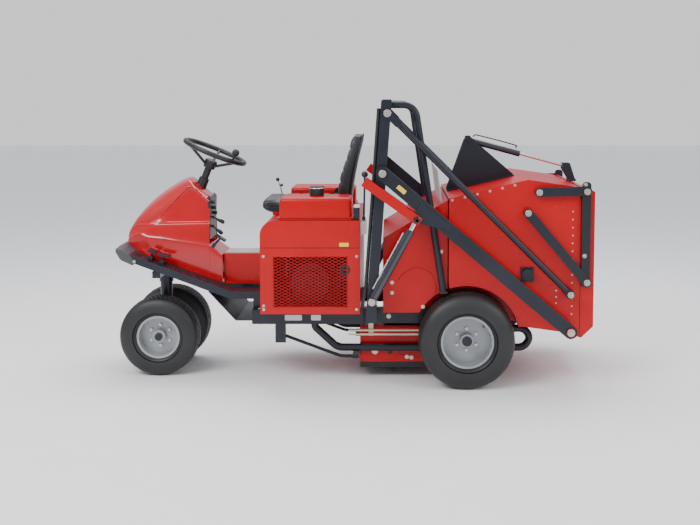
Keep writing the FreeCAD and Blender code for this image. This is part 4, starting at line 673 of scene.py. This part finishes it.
def clipped(x0, z0, x1, z1, bottom, top):
    """The stretch of a sloping strand that lies between two heights, as (x0, z0, x1, z1)."""
    for edge in (bottom, top):
        if (z0 - edge) * (z1 - edge) < 0:
            x = x0 + (edge - z0) * (x1 - x0) / (z1 - z0)
            if (z0 < bottom and edge == bottom) or (z0 > top and edge == top):
                x0, z0 = x, edge
            else:
                x1, z1 = x, edge
    return x0, z0, x1, z1


def make_mesh(name, side, left, bottom, right, top, middle):
    """Two layers of flat strands that cross in diamonds."""
    pitch_x, pitch_z, strand, depth, shortest, slack = 0.038, 0.0195, 0.0023, 0.0016, 0.004, 1e-6
    slope = pitch_z / pitch_x
    reach = (right - left) * slope
    shape = bmesh.new()
    for lean in (-1, 1):
        start = left if lean > 0 else right
        for number in range(-1, int((top - bottom + reach) / pitch_z) + 2):
            base = bottom + number * pitch_z - reach
            ends = [base + lean * slope * (x - start) for x in (left, right)]
            x0, z0, x1, z1 = clipped(left, ends[0], right, ends[1], bottom, top)
            if min(z0, z1) < bottom - slack or max(z0, z1) > top + slack or x1 - x0 < shortest:
                continue
            corners = [(x0, z0 - strand), (x1, z1 - strand), (x1, z1 + strand), (x0, z0 + strand)]
            flat_sheet(shape, corners, middle - side * depth * 0.5 * lean - depth, 2 * depth)
    from_bmesh("side_mesh_" + name, shape, "red_paint", "chassis")


def make_panel(side, name):
    """A side sheet with a window of fine diamond mesh and a seam across it."""
    low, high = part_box("side_panels")
    outer = side * high.y
    thick, corner = 0.004, 0.090
    left, right, bottom, top = low.x + 0.080, high.x - 0.077, low.z + 0.043, high.z - 0.218
    outline = [(low.x, low.z), (high.x, low.z), (high.x, high.z)]
    outline += [(low.x + corner - corner * math.sin(math.radians(a)), high.z - corner
                 + corner * math.cos(math.radians(a))) for a in range(0, 91, 10)]
    window = oblong(left, bottom, right, top)
    shape = bmesh.new()
    edges = []
    for line in (outline, window):
        ring = [shape.verts.new((x, outer, z)) for x, z in line]
        edges += [shape.edges.new((ring[i], ring[(i + 1) % len(ring)])) for i in range(len(ring))]
    bmesh.ops.triangle_fill(shape, use_beauty=True, use_dissolve=False, edges=edges)
    sheet = bmesh.ops.extrude_face_region(shape, geom=list(shape.faces))
    bmesh.ops.translate(shape, vec=(0, -side * thick, 0),
                        verts=[g for g in sheet["geom"] if isinstance(g, bmesh.types.BMVert)])
    panel = from_bmesh("side_sheet_" + name, shape, "red_paint", "chassis")
    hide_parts("side_panels")
    make_mesh(name, side, left, bottom, right, top, outer - side * thick / 2)
    seam = high.z - 0.165
    tube("side_seam_" + name, [(low.x + 0.002, outer, seam), (high.x - 0.002, outer, seam)], 0.0016,
         "seam_dark", "chassis", smooth=False)
    tube("mesh_border_" + name, [(x, outer, z) for x, z in window], 0.0035, "red_paint", "chassis",
         closed=True, smooth=False)


def make_engine_dressing(low, high):
    """What shows through the mesh: an air shroud with pressed ribs, a fan, an air cleaner and a battery."""
    left, right = low.x + 0.03, high.x - 0.03
    floor, top = low.z + 0.006, high.z - 0.20
    open_x, open_z = low.x + 0.185, low.z + 0.185
    shroud_y, rib_width, rib_pitch, rib_height = 0.315, 0.02, 0.07, 0.004
    shape = bmesh.new()
    flat_sheet(shape, [(open_x, floor), (right, floor), (right, top), (left, top), (left, open_z),
                       (open_x, open_z)], shroud_y, 0.003)
    for number in range(5):
        x = open_x + 0.03 + number * rib_pitch
        rib = oblong(x, floor + 0.05, x + rib_width, top - 0.05)
        flat_sheet(shape, rib, shroud_y - rib_height, rib_height)
    from_bmesh("air_shroud", shape, "cast_metal", "chassis")
    engine_low, engine_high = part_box("engine")
    fan = [(0.0005, 0.0), (0.030, 0.0), (0.034, -0.010), (0.070, -0.012), (0.074, 0.0), (0.120, 0.0),
           (0.126, 0.012), (0.126, 0.040), (0.0005, 0.040)]
    lathe("fan_screen", fan, (engine_low.x + 0.165, engine_low.y - 0.046, engine_low.z + 0.16), "cast_metal",
          "chassis")
    cleaner = [(0.0005, -0.085), (0.046, -0.085), (0.055, -0.076), (0.055, -0.03), (0.058, -0.026),
               (0.058, 0.055), (0.05, 0.065), (0.0005, 0.065)]
    lathe("air_cleaner", cleaner, (high.x - 0.125, -0.14, engine_high.z + 0.062), "black_plastic",
          "chassis")
    shape = bmesh.new()
    case_x = low.x + 0.016
    for x, width in ((case_x, 0.120), (case_x + 0.006, 0.128)):
        flat_sheet(shape, oblong(x, open_z + 0.012, x + width, open_z + 0.13), -0.36, 0.17)
    from_bmesh("battery", shape, "black_plastic", "chassis")


def make_engine_bay():
    """The mesh side panels with their bolts, grommet and blank label, and what stands behind them."""
    for side, name in NAMED_SIDES:
        make_panel(side, name)
    low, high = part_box("side_panels")
    span_z = high.z - low.z
    places = spots("side_panels", ((0.035, 0.05), (0.035, 0.62), (0.965, 0.05), (0.965, 0.62), (0.035, 0.09)))
    seats = [(x, side * high.y, z, side) for side in SIDES for x, z in places]
    bolt_heads("side_bolts", seats, 0.006, "chassis")
    lathe("pull_grommet", [(0.017, 0.005), (0.029, 0.003), (0.031, 0.0), (0.029, -0.003), (0.017, -0.003)],
          (high.x - 0.092, -high.y, low.z + span_z * 0.475), "rubber", "chassis", steps=40)
    shape = bmesh.new()
    label_x, label_z, thick = high.x - 0.125, low.z + span_z * 0.745, 0.0012
    flat_sheet(shape, oblong(label_x, label_z - 0.0115, label_x + 0.056, label_z + 0.0115),
               -high.y - thick, thick)
    from_bmesh("blank_label_panel", shape, "label_yellow", "chassis")
    make_engine_dressing(low, high)


# ---- seat ----------------------------------------------------------------------------------

def superellipse(turn, power):
    c, s = math.cos(turn), math.sin(turn)
    return (math.copysign(abs(c) ** power, c), math.copysign(abs(s) ** power, s))


def apply_modifiers(piece):
    graph = bpy.context.evaluated_depsgraph_get()
    mesh = bpy.data.meshes.new_from_object(piece.evaluated_get(graph))
    piece.modifiers.clear()
    piece.data = mesh


def upholster(piece, cap, voxel=0.006, pressure=4.0, frames=20):
    """Fills the pad by a cloth simulation, keeps each point within cap of its start, and smooths it."""
    remesh = piece.modifiers.new("even", "REMESH")
    remesh.mode = "VOXEL"
    remesh.voxel_size = voxel
    apply_modifiers(piece)
    rest = [v.co.copy() for v in piece.data.vertices]
    cloth = piece.modifiers.new("cloth", "CLOTH")
    cloth.settings.use_pressure = True
    cloth.settings.uniform_pressure_force = pressure
    cloth.settings.effector_weights.gravity = 0
    cloth.point_cache.frame_start, cloth.point_cache.frame_end = 1, frames
    for number in range(1, frames + 1):
        bpy.context.scene.frame_set(number)
    graph = bpy.context.evaluated_depsgraph_get()
    moved = piece.evaluated_get(graph).to_mesh()
    places = [v.co.copy() for v in moved.vertices]
    piece.modifiers.clear()
    for vertex, start, end in zip(piece.data.vertices, rest, places):
        step = end - start
        if step.length > cap:
            step *= cap / step.length
        vertex.co = start + step
    bpy.context.scene.frame_set(1)
    smooth = piece.modifiers.new("smooth", "SUBSURF")
    smooth.levels = smooth.render_levels = 1
    apply_modifiers(piece)
    piece.data.polygons.foreach_set("use_smooth", [True] * len(piece.data.polygons))


def sew(piece, lines, axis, depth, facing):
    """Presses sewn channels across a pad where its surface faces one way."""
    seam_width, turned_away = 0.008, 0.35
    facing = Vector(facing)
    normals = [v.normal.copy() for v in piece.data.vertices]
    for vertex, normal in zip(piece.data.vertices, normals):
        if normal.dot(facing) >= turned_away:
            dent = sum(math.exp(-((vertex.co[axis] - line) / seam_width) ** 2) for line in lines)
            vertex.co -= normal * depth * min(1.0, dent)


def make_cushion():
    """The seat pad, crowned, with a deep rounded front that hangs over the edge of the bay."""
    low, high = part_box("seat_cushion")
    bay_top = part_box("side_panels")[1].z
    pad_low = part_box("seat_pan")[1].z - 0.076
    length = high.x - low.x
    half = (high.y - low.y) / 2 - 0.014
    top = high.z - 0.012
    around = 48
    shape = bmesh.new()
    rings = []
    for share in (0.0, 0.012, 0.035, 0.07, 0.12, 0.18, 0.25, 0.30, 0.34, 0.46, 0.6, 0.74, 0.86, 0.94, 0.98,
                  1.0):
        x = low.x + 0.010 + share * (length - 0.024)
        roll = 0.012 * (1 - smooth_step(share, 0.0, 0.06))
        round_end = math.sqrt(max(0.0, 1 - (2 * share - 1) ** 12))
        nose_low = bay_top + 0.010 + roll * 0.7
        bottom = nose_low + (pad_low + 0.006 - nose_low) * smooth_step(share, 0.28, 0.36)
        crown = top - roll
        thick = max(0.006, (crown - bottom) / 2 * (0.80 + 0.20 * round_end))
        width = half * (0.90 + 0.10 * round_end)
        centre = Vector((x, 0, (crown + bottom) / 2))
        outline = [superellipse(2 * math.pi * step / around, 0.55) for step in range(around)]
        rings.append([shape.verts.new(centre + UP * (thick * u) + ACROSS * (width * v)) for u, v in outline])
    skin(shape, rings)
    pad = from_bmesh("seat_cushion_pad", shape, "vinyl", "seat", crease=80)
    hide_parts("seat_cushion")
    upholster(pad, 0.010)
    sew(pad, [low.x + length * s for s in (0.30, 0.52, 0.74)], 0, 0.005, (0, 0, 1))
    sew(pad, [-half * 0.62, half * 0.62], 1, 0.006, (0, 0, 1))
    add_piping("cushion_piping", pad, (low.z + high.z) / 2 + 0.022, 0.0032, "seat")


def add_piping(name, pad, height, radius, body):
    """A cord of vinyl round a pad, where its surface meets a level plane."""
    centre = sum((Vector(corner) for corner in pad.bound_box), Vector()) / 8
    centre.z = height
    tree = surface_tree(pad.data)
    points = []
    for u, v in circle(56, 1.0):
        outward = Vector((u, v, 0))
        hit = tree.ray_cast(centre + outward * 2, -outward)
        if hit[0] is not None:
            points.append(hit[0])
    tube(name, points, radius, "vinyl", body, closed=True)


def backrest_form(name, material, grow=0.0):
    """The bucket form, its sides curved forward round a sunk middle; with grow, the hard shell behind it."""
    low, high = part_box("seat_back")
    length, height = high.x - low.x, high.z - low.z
    half = (high.y - low.y) / 2 - 0.008
    front_edge = [(0.0, 0.05), (0.16, 0.04), (0.36, 0.12), (0.50, 0.22), (0.63, 0.33), (0.78, 0.44),
                  (1.0, 0.52)]
    rear_edge = [(0.0, 0.58), (0.16, 0.60), (0.36, 0.66), (0.63, 0.78), (0.80, 0.88), (0.94, 0.96),
                 (1.0, 0.97)]
    around, shell_thick, shell_share = 56, 0.014, 0.97
    shape = bmesh.new()
    rings = []
    for share in (0.0, 0.02, 0.05, 0.10, 0.18, 0.28, 0.38, 0.48, 0.58, 0.68, 0.78, 0.86, 0.92, 0.96, 0.985,
                  1.0):
        front = low.x + length * blend_line(front_edge, share)
        rear = low.x + length * blend_line(rear_edge, share) - 0.004
        end = math.sqrt(max(0.0, 1 - (2 * share - 1) ** 10))
        width = half * (1.0 - 0.22 * share ** 3) * (0.86 + 0.14 * end) * (shell_share if grow else 1.0)
        ring = []
        for step in range(around):
            u, v = superellipse(2 * math.pi * step / around, 0.42)
            fore = rear - shell_thick if grow else front + (rear - front) * 0.48 * (1 - abs(u) ** 2.6)
            x = (fore + rear) / 2 + (rear - fore) / 2 * (0.5 + 0.5 * end) * v + grow
            ring.append(shape.verts.new((x, width * u, low.z + 0.006 + (height - 0.014) * share)))
        rings.append(ring)
    skin(shape, rings)
    return from_bmesh(name, shape, material, "seat_back", crease=80)


def make_backrest():
    """A channelled bucket pad on a hard rear shell."""
    low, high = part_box("seat_back")
    half = (high.y - low.y) / 2 - 0.008
    facing = (-1, 0, 0.2)
    cover = backrest_form("seat_back_pad", "vinyl")
    upholster(cover, 0.006)
    sew(cover, [low.z + (high.z - low.z) * s for s in (0.30, 0.46, 0.62, 0.78)], 2, 0.005, facing)
    sew(cover, [-half * 0.60, half * 0.60], 1, 0.007, facing)
    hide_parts("seat_back")
    rear = backrest_form("seat_back_shell", "black_plastic", grow=0.0035)
    smooth = rear.modifiers.new("smooth", "SUBSURF")
    smooth.levels = smooth.render_levels = 1


def make_seat_trim():
    """Round side covers over the recliner, each with a knob."""
    pivot = Vector(JOINTS["backrest_tilt"]["pos_m"])
    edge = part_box("seat_pan")[1].y
    cover = [(0.0005, 0.008), (0.030, 0.008), (0.040, 0.005), (0.044, 0.0), (0.044, -0.003), (0.0005, -0.003)]
    knob = [(0.0005, 0.026), (0.010, 0.026), (0.015, 0.022), (0.016, 0.008), (0.0005, 0.008)]
    for side, name in NAMED_SIDES:
        for part, profile in (("cover", cover), ("knob", knob)):
            lathe("recliner_%s_%s" % (part, name), [(r, side * y) for r, y in profile],
                  (pivot.x, side * edge, pivot.z), "black_plastic", "seat", steps=40)


# ---- mast, arms, rams and hopper -----------------------------------------------------------

def pivot_bolts(name, nodes, x, z, radius):
    """Heads on the outermost plate or boss of the nodes that meet at a pivot, riding with the first."""
    bolt_heads(name, [(x, outermost(nodes, x, z, side, radius), z, side) for side in SIDES], radius,
               NODE_BODY[nodes[0]], washer=1.5)


def make_pivot_caps():
    """Washers and bolt heads where each linkage turns."""
    for joint, nodes, radius in (("lift", ("lift_arms", "mast_frame"), 0.015),
                                 ("hopper_tilt", ("lift_arms", "hopper_shell"), 0.015),
                                 ("tie_rod_swing", ("tie_rods", "mast_frame"), 0.015),
                                 ("lift_ram_swing", ("lift_barrels", "mast_frame", "chassis_rails"), 0.014),
                                 ("left_strut_drop", ("safety_strut_left", "lift_arms", "lift_rods"), 0.013),
                                 ("right_strut_drop", ("safety_strut_right", "lift_arms", "lift_rods"),
                                  0.013),
                                 ("door_open", ("lower_links", "hopper_shell"), 0.013),
                                 ("door_turn", ("lower_links", "door_bars"), 0.013),
                                 ("upper_link_swing", ("upper_links", "hopper_shell", "door_bars"), 0.013)):
        place = JOINTS[joint]["pos_m"]
        pivot_bolts(joint + "_pins", nodes, place[0], place[2], radius)
    low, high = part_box("tie_rods")
    pivot_bolts("tie_foot_pins", ("tie_rods", "hopper_shell"), high.x - 0.026, low.z + 0.026, 0.013)
    low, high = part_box("upper_links")
    pivot_bolts("upper_link_end_pins", ("upper_links", "door_bars"), high.x - 0.028, (low.z + high.z) / 2,
                0.013)


def make_frame_bolts():
    """Bolts and rivets on the flat sides, placed by shares of each node's box."""
    rivets = [(0.94, v / 20) for v in range(3, 17)] + [(0.82, 0.30), (0.82, 0.26), (0.82, 0.22)]
    for name, node, shares, radius in (
            ("rail_bolts", "chassis_rails", ((0.483, 0.62), (0.545, 0.62)), 0.010),
            ("mast_bolts", "mast_frame", ((0.11, 0.03),), 0.010),
            ("chute_bolts", "chute", ((0.14, 0.36), (0.14, 0.28), (0.62, 0.17), (0.9, 0.60)), 0.008),
            ("deck_bolts", "brush_deck", ((0.86, 0.14), (0.89, 0.12), (0.60, 0.36)), 0.009),
            ("deck_pivot", "brush_deck", ((0.645, 0.30),), 0.014),
            ("bar_bolts", "door_bars", ((0.62, 0.86), (0.62, 0.26)), 0.009),
            ("hopper_rivets", "hopper_shell", rivets, 0.0035),
            ("step_bolts", "front_frame", ((0.10, 0.86), (0.72, 0.30)), 0.008)):
        fasteners(name, node, spots(node, shares), radius)


def make_rings(name, start, end, radius, count, material, body):
    """Narrow bands round a straight run: crimped sleeves."""
    direction = (end - start).normalized()
    side = direction.cross(ACROSS).normalized()
    other = direction.cross(side)
    for number in range(count):
        centre = start.lerp(end, (number + 0.5) / count)
        loop = [centre + side * u + other * v for u, v in circle(16, radius)]
        tube("%s_%d" % (name, number), loop, 0.0022, material, body, closed=True)


def make_ram_lines():
    """A steel line beside each lift barrel, with crimped sleeves, as hydraulic rams carry."""
    foot = Vector(JOINTS["lift_ram_swing"]["pos_m"])
    along_ram = Vector(JOINTS["lift_ram_stroke"]["axis"]).normalized()
    offset = along_ram.cross(ACROSS).normalized() * 0.031
    centre_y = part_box("lift_barrels")[1].y - 0.026
    for side, name in NAMED_SIDES:
        base = Vector((foot.x, side * centre_y, foot.z)) + offset
        start, end = base + along_ram * 0.07, base + along_ram * 0.45
        tube("ram_line_" + name, [start, start.lerp(end, 0.5), end], 0.005, "chrome_rod", "lift_barrels",
             smooth=False)
        make_rings("ram_clip_" + name, start, end, 0.0065, 3, "zinc", "lift_barrels")


def top_edge(node, x, side):
    """The height of the top of a node's outer side at x, found by looking in from the side."""
    low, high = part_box(node)
    step, ledge = 0.003, 0.02
    wall = abs(seat_y(node, x, (low.z + high.z) / 2, side)) - ledge
    z = high.z
    while z > low.z:
        y = seat_y(node, x, z, side)
        if y is not None and abs(y) > wall:
            return z
        z -= step
    return low.z


def make_hopper_trim():
    """Bolts under the side's top edge, and the inner wall of each wheel box."""
    low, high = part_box("hopper_shell")
    for side, name in NAMED_SIDES:
        lines = [low.x + 0.02 + number * 0.075 for number in range(6)]
        places = [(x, top_edge("hopper_shell", x, side) - 0.012) for x in lines]
        fasteners("bracket_bolts_" + name, "hopper_shell", places, 0.0055, sides=(side,))
    axle = Vector(JOINTS["rear_left_roll"]["pos_m"])
    tyre_low, tyre_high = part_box("rear_left_tyre")
    arch = (tyre_high.z - tyre_low.z) / 2 + 0.052
    foot = 0.078
    start = math.degrees(math.asin(foot / arch))
    outline = [(axle.x + arch * math.cos(math.radians(a)), axle.z + arch * math.sin(math.radians(a)))
               for a in (start, 20, 30, 40, 50, 60, 70, 80, 90, 100, 107)]
    outline.append((low.x + 0.006, axle.z + foot))
    shape = bmesh.new()
    for side in SIDES:
        flat_sheet(shape, outline, side * (abs(tyre_high.y) - 0.018), side * -0.003)
    from_bmesh("wheel_box_walls", shape, "red_paint", "hopper")


def make_door_ram_line():
    """The rigid oil line that loops over the door ram's barrel."""
    low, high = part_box("door_barrel")
    start = Vector((low.x + 0.055, low.y + 0.006, high.z - 0.004))
    end = Vector((high.x - 0.035, low.y + 0.006, low.z + 0.058))
    rise = Vector((0.006, 0, 0.017))
    line = [start, start + rise, start.lerp(end, 0.12) + rise, start.lerp(end, 0.5) + rise * 1.1,
            end + rise, end + Vector((0.010, 0, 0.012)), end]
    tube("door_ram_line", line, 0.0045, "barrel_paint", "door_barrel")


def make_control_lever():
    """The short lever with two ball knobs that stands beyond the seat, at its front corner."""
    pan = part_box("seat_pan")
    foot = Vector((pan[0].x + 0.040, pan[1].y + 0.013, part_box("engine_bay")[1].z - 0.026))
    tip = foot + Vector((-0.034, 0.0, 0.190))
    bend = foot + Vector((-0.006, 0.0, 0.105))
    tube("control_lever_rod", [foot, foot.lerp(bend, 0.5), bend, bend.lerp(tip, 0.5), tip], 0.0045, "zinc",
         "chassis")
    lower = bend.lerp(tip, 0.55) + Vector((0.014, 0, 0))
    for name, place, size in (("upper", tip, 0.013), ("lower", lower, 0.010)):
        ball = [(max(0.0008, size * math.sin(math.radians(a))), -size * math.cos(math.radians(a)))
                for a in range(0, 181, 18)]
        turned("control_knob_" + name, place, UP, ball, "black_plastic", "chassis", 24)


def make_chute_trim():
    """The round access covers on the chute's sides and the relay box behind the tank."""
    low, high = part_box("chute")
    x, z = low.x + 0.205, low.z + 0.255
    radius, proud = 0.118, 0.001
    for side, name in NAMED_SIDES:
        y = seat_y("chute", x, z, side) + side * proud
        arc = [(x + radius * math.cos(math.radians(a)), y, z + radius * math.sin(math.radians(a)))
               for a in range(-20, 161, 15)]
        tube("chute_cover_" + name, arc, 0.0025, "red_paint", "chassis")
    tank_low, tank_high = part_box("fuel_tank")
    corner = Vector((tank_high.x, tank_low.y, tank_low.z))
    for name, start, end, material in (
            ("relay_box", (0.003, 0.02, 0.004), (0.036, 0.085, 0.075), "black_plastic"),
            ("relay_box_lid", (0.001, 0.017, 0.075), (0.039, 0.088, 0.088), "label_white")):
        shape = bmesh.new()
        low = [c + s for c, s in zip(corner, start)]
        high = [c + e for c, e in zip(corner, end)]
        rounded_box(shape, low, high, 0.003)
        from_bmesh(name, shape, material, "chassis")


# ---- brush, labels and finishes ------------------------------------------------------------

def make_bristles():
    """Rows of tapered bristles that wind round the core."""
    low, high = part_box("brush_bristles")
    centre = (low + high) / 2
    outer = (high.z - low.z) / 2 - 0.002
    core = (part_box("brush_core")[1].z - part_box("brush_core")[0].z) / 2
    half = (high.y - low.y) / 2
    rows, along_row, thick, taper = 12, 110, 0.0016, 0.45
    depth = ACROSS * thick
    corners = ((-1, -1), (1, -1), (1, 1), (-1, 1))
    rng = random.Random(7)
    shape = bmesh.new()
    for row in range(rows):
        for number in range(along_row):
            y = centre.y - half + 2 * half * (number + 0.5) / along_row
            turn = 2 * math.pi * row / rows + 0.5 * (y - centre.y) / half + rng.uniform(-0.06, 0.06)
            tip = outer - rng.uniform(0, 0.010)
            bend = turn + rng.uniform(-0.05, 0.05)
            foot = Vector((centre.x + core * math.cos(turn), y, centre.z + core * math.sin(turn)))
            end = Vector((centre.x + tip * math.cos(bend), y + rng.uniform(-0.003, 0.003),
                          centre.z + tip * math.sin(bend)))
            side = Vector((-math.sin(turn), 0, math.cos(turn))) * thick
            skin(shape, [[shape.verts.new(place + (side * s + depth * t) * size) for s, t in corners]
                         for place, size in ((foot, 1.0), (end, taper))])
    bristles = from_bmesh("brush_strands", shape, "bristle", "brush")
    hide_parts("brush_bristles")


def make_labels():
    """Blank plates where the machine carries its markings."""
    for share, width in ((0.165, 0.105), (0.255, 0.060)):
        x, z = spots("chassis_rails", ((share, 0.62),))[0]
        plate("blank_plate_%d" % int(share * 1000), "chassis_rails", x, z, width, 0.034, "label_white")
    arm = Vector(JOINTS["lift"]["pos_m"])
    far = Vector(JOINTS["hopper_tilt"]["pos_m"])
    spot = arm.lerp(far, 0.10)
    tilt = math.atan2(far.z - arm.z, far.x - arm.x)
    plate("blank_label_arm", "lift_arms", spot.x, spot.z, 0.060, 0.026, "label_yellow", tilt)


def finish_cad_nodes():
    """Every CAD node that still shows takes its slot's material, or the finish its own look calls for."""
    # The brush deck's finish is red paint with painted black shade under the rods on its front.
    own = {"lift_barrels": "barrel_paint", "door_barrel": "barrel_paint", "brush_deck": "deck_paint_and_shade",
           "engine": "cast_metal"}
    for node, piece in frame["nodes"].items():
        material = MATERIALS[own.get(node, NODE_SLOT[node])]
        for slot in piece.material_slots:
            slot.material = material
        if not piece.material_slots:
            piece.data.materials.append(material)


# ---- the scene -----------------------------------------------------------------------------

make_camera()
make_materials()
make_studio()
finish_cad_nodes()
make_wheels()
make_hood()
make_steering_trim()
make_tanks()
make_engine_bay()
make_tunnel_strip()
make_nose_lip()
make_cushion()
make_backrest()
make_seat_trim()
make_pivot_caps()
make_frame_bolts()
make_ram_lines()
make_hopper_trim()
make_door_ram_line()
make_control_lever()
make_chute_trim()
make_bristles()
make_labels()
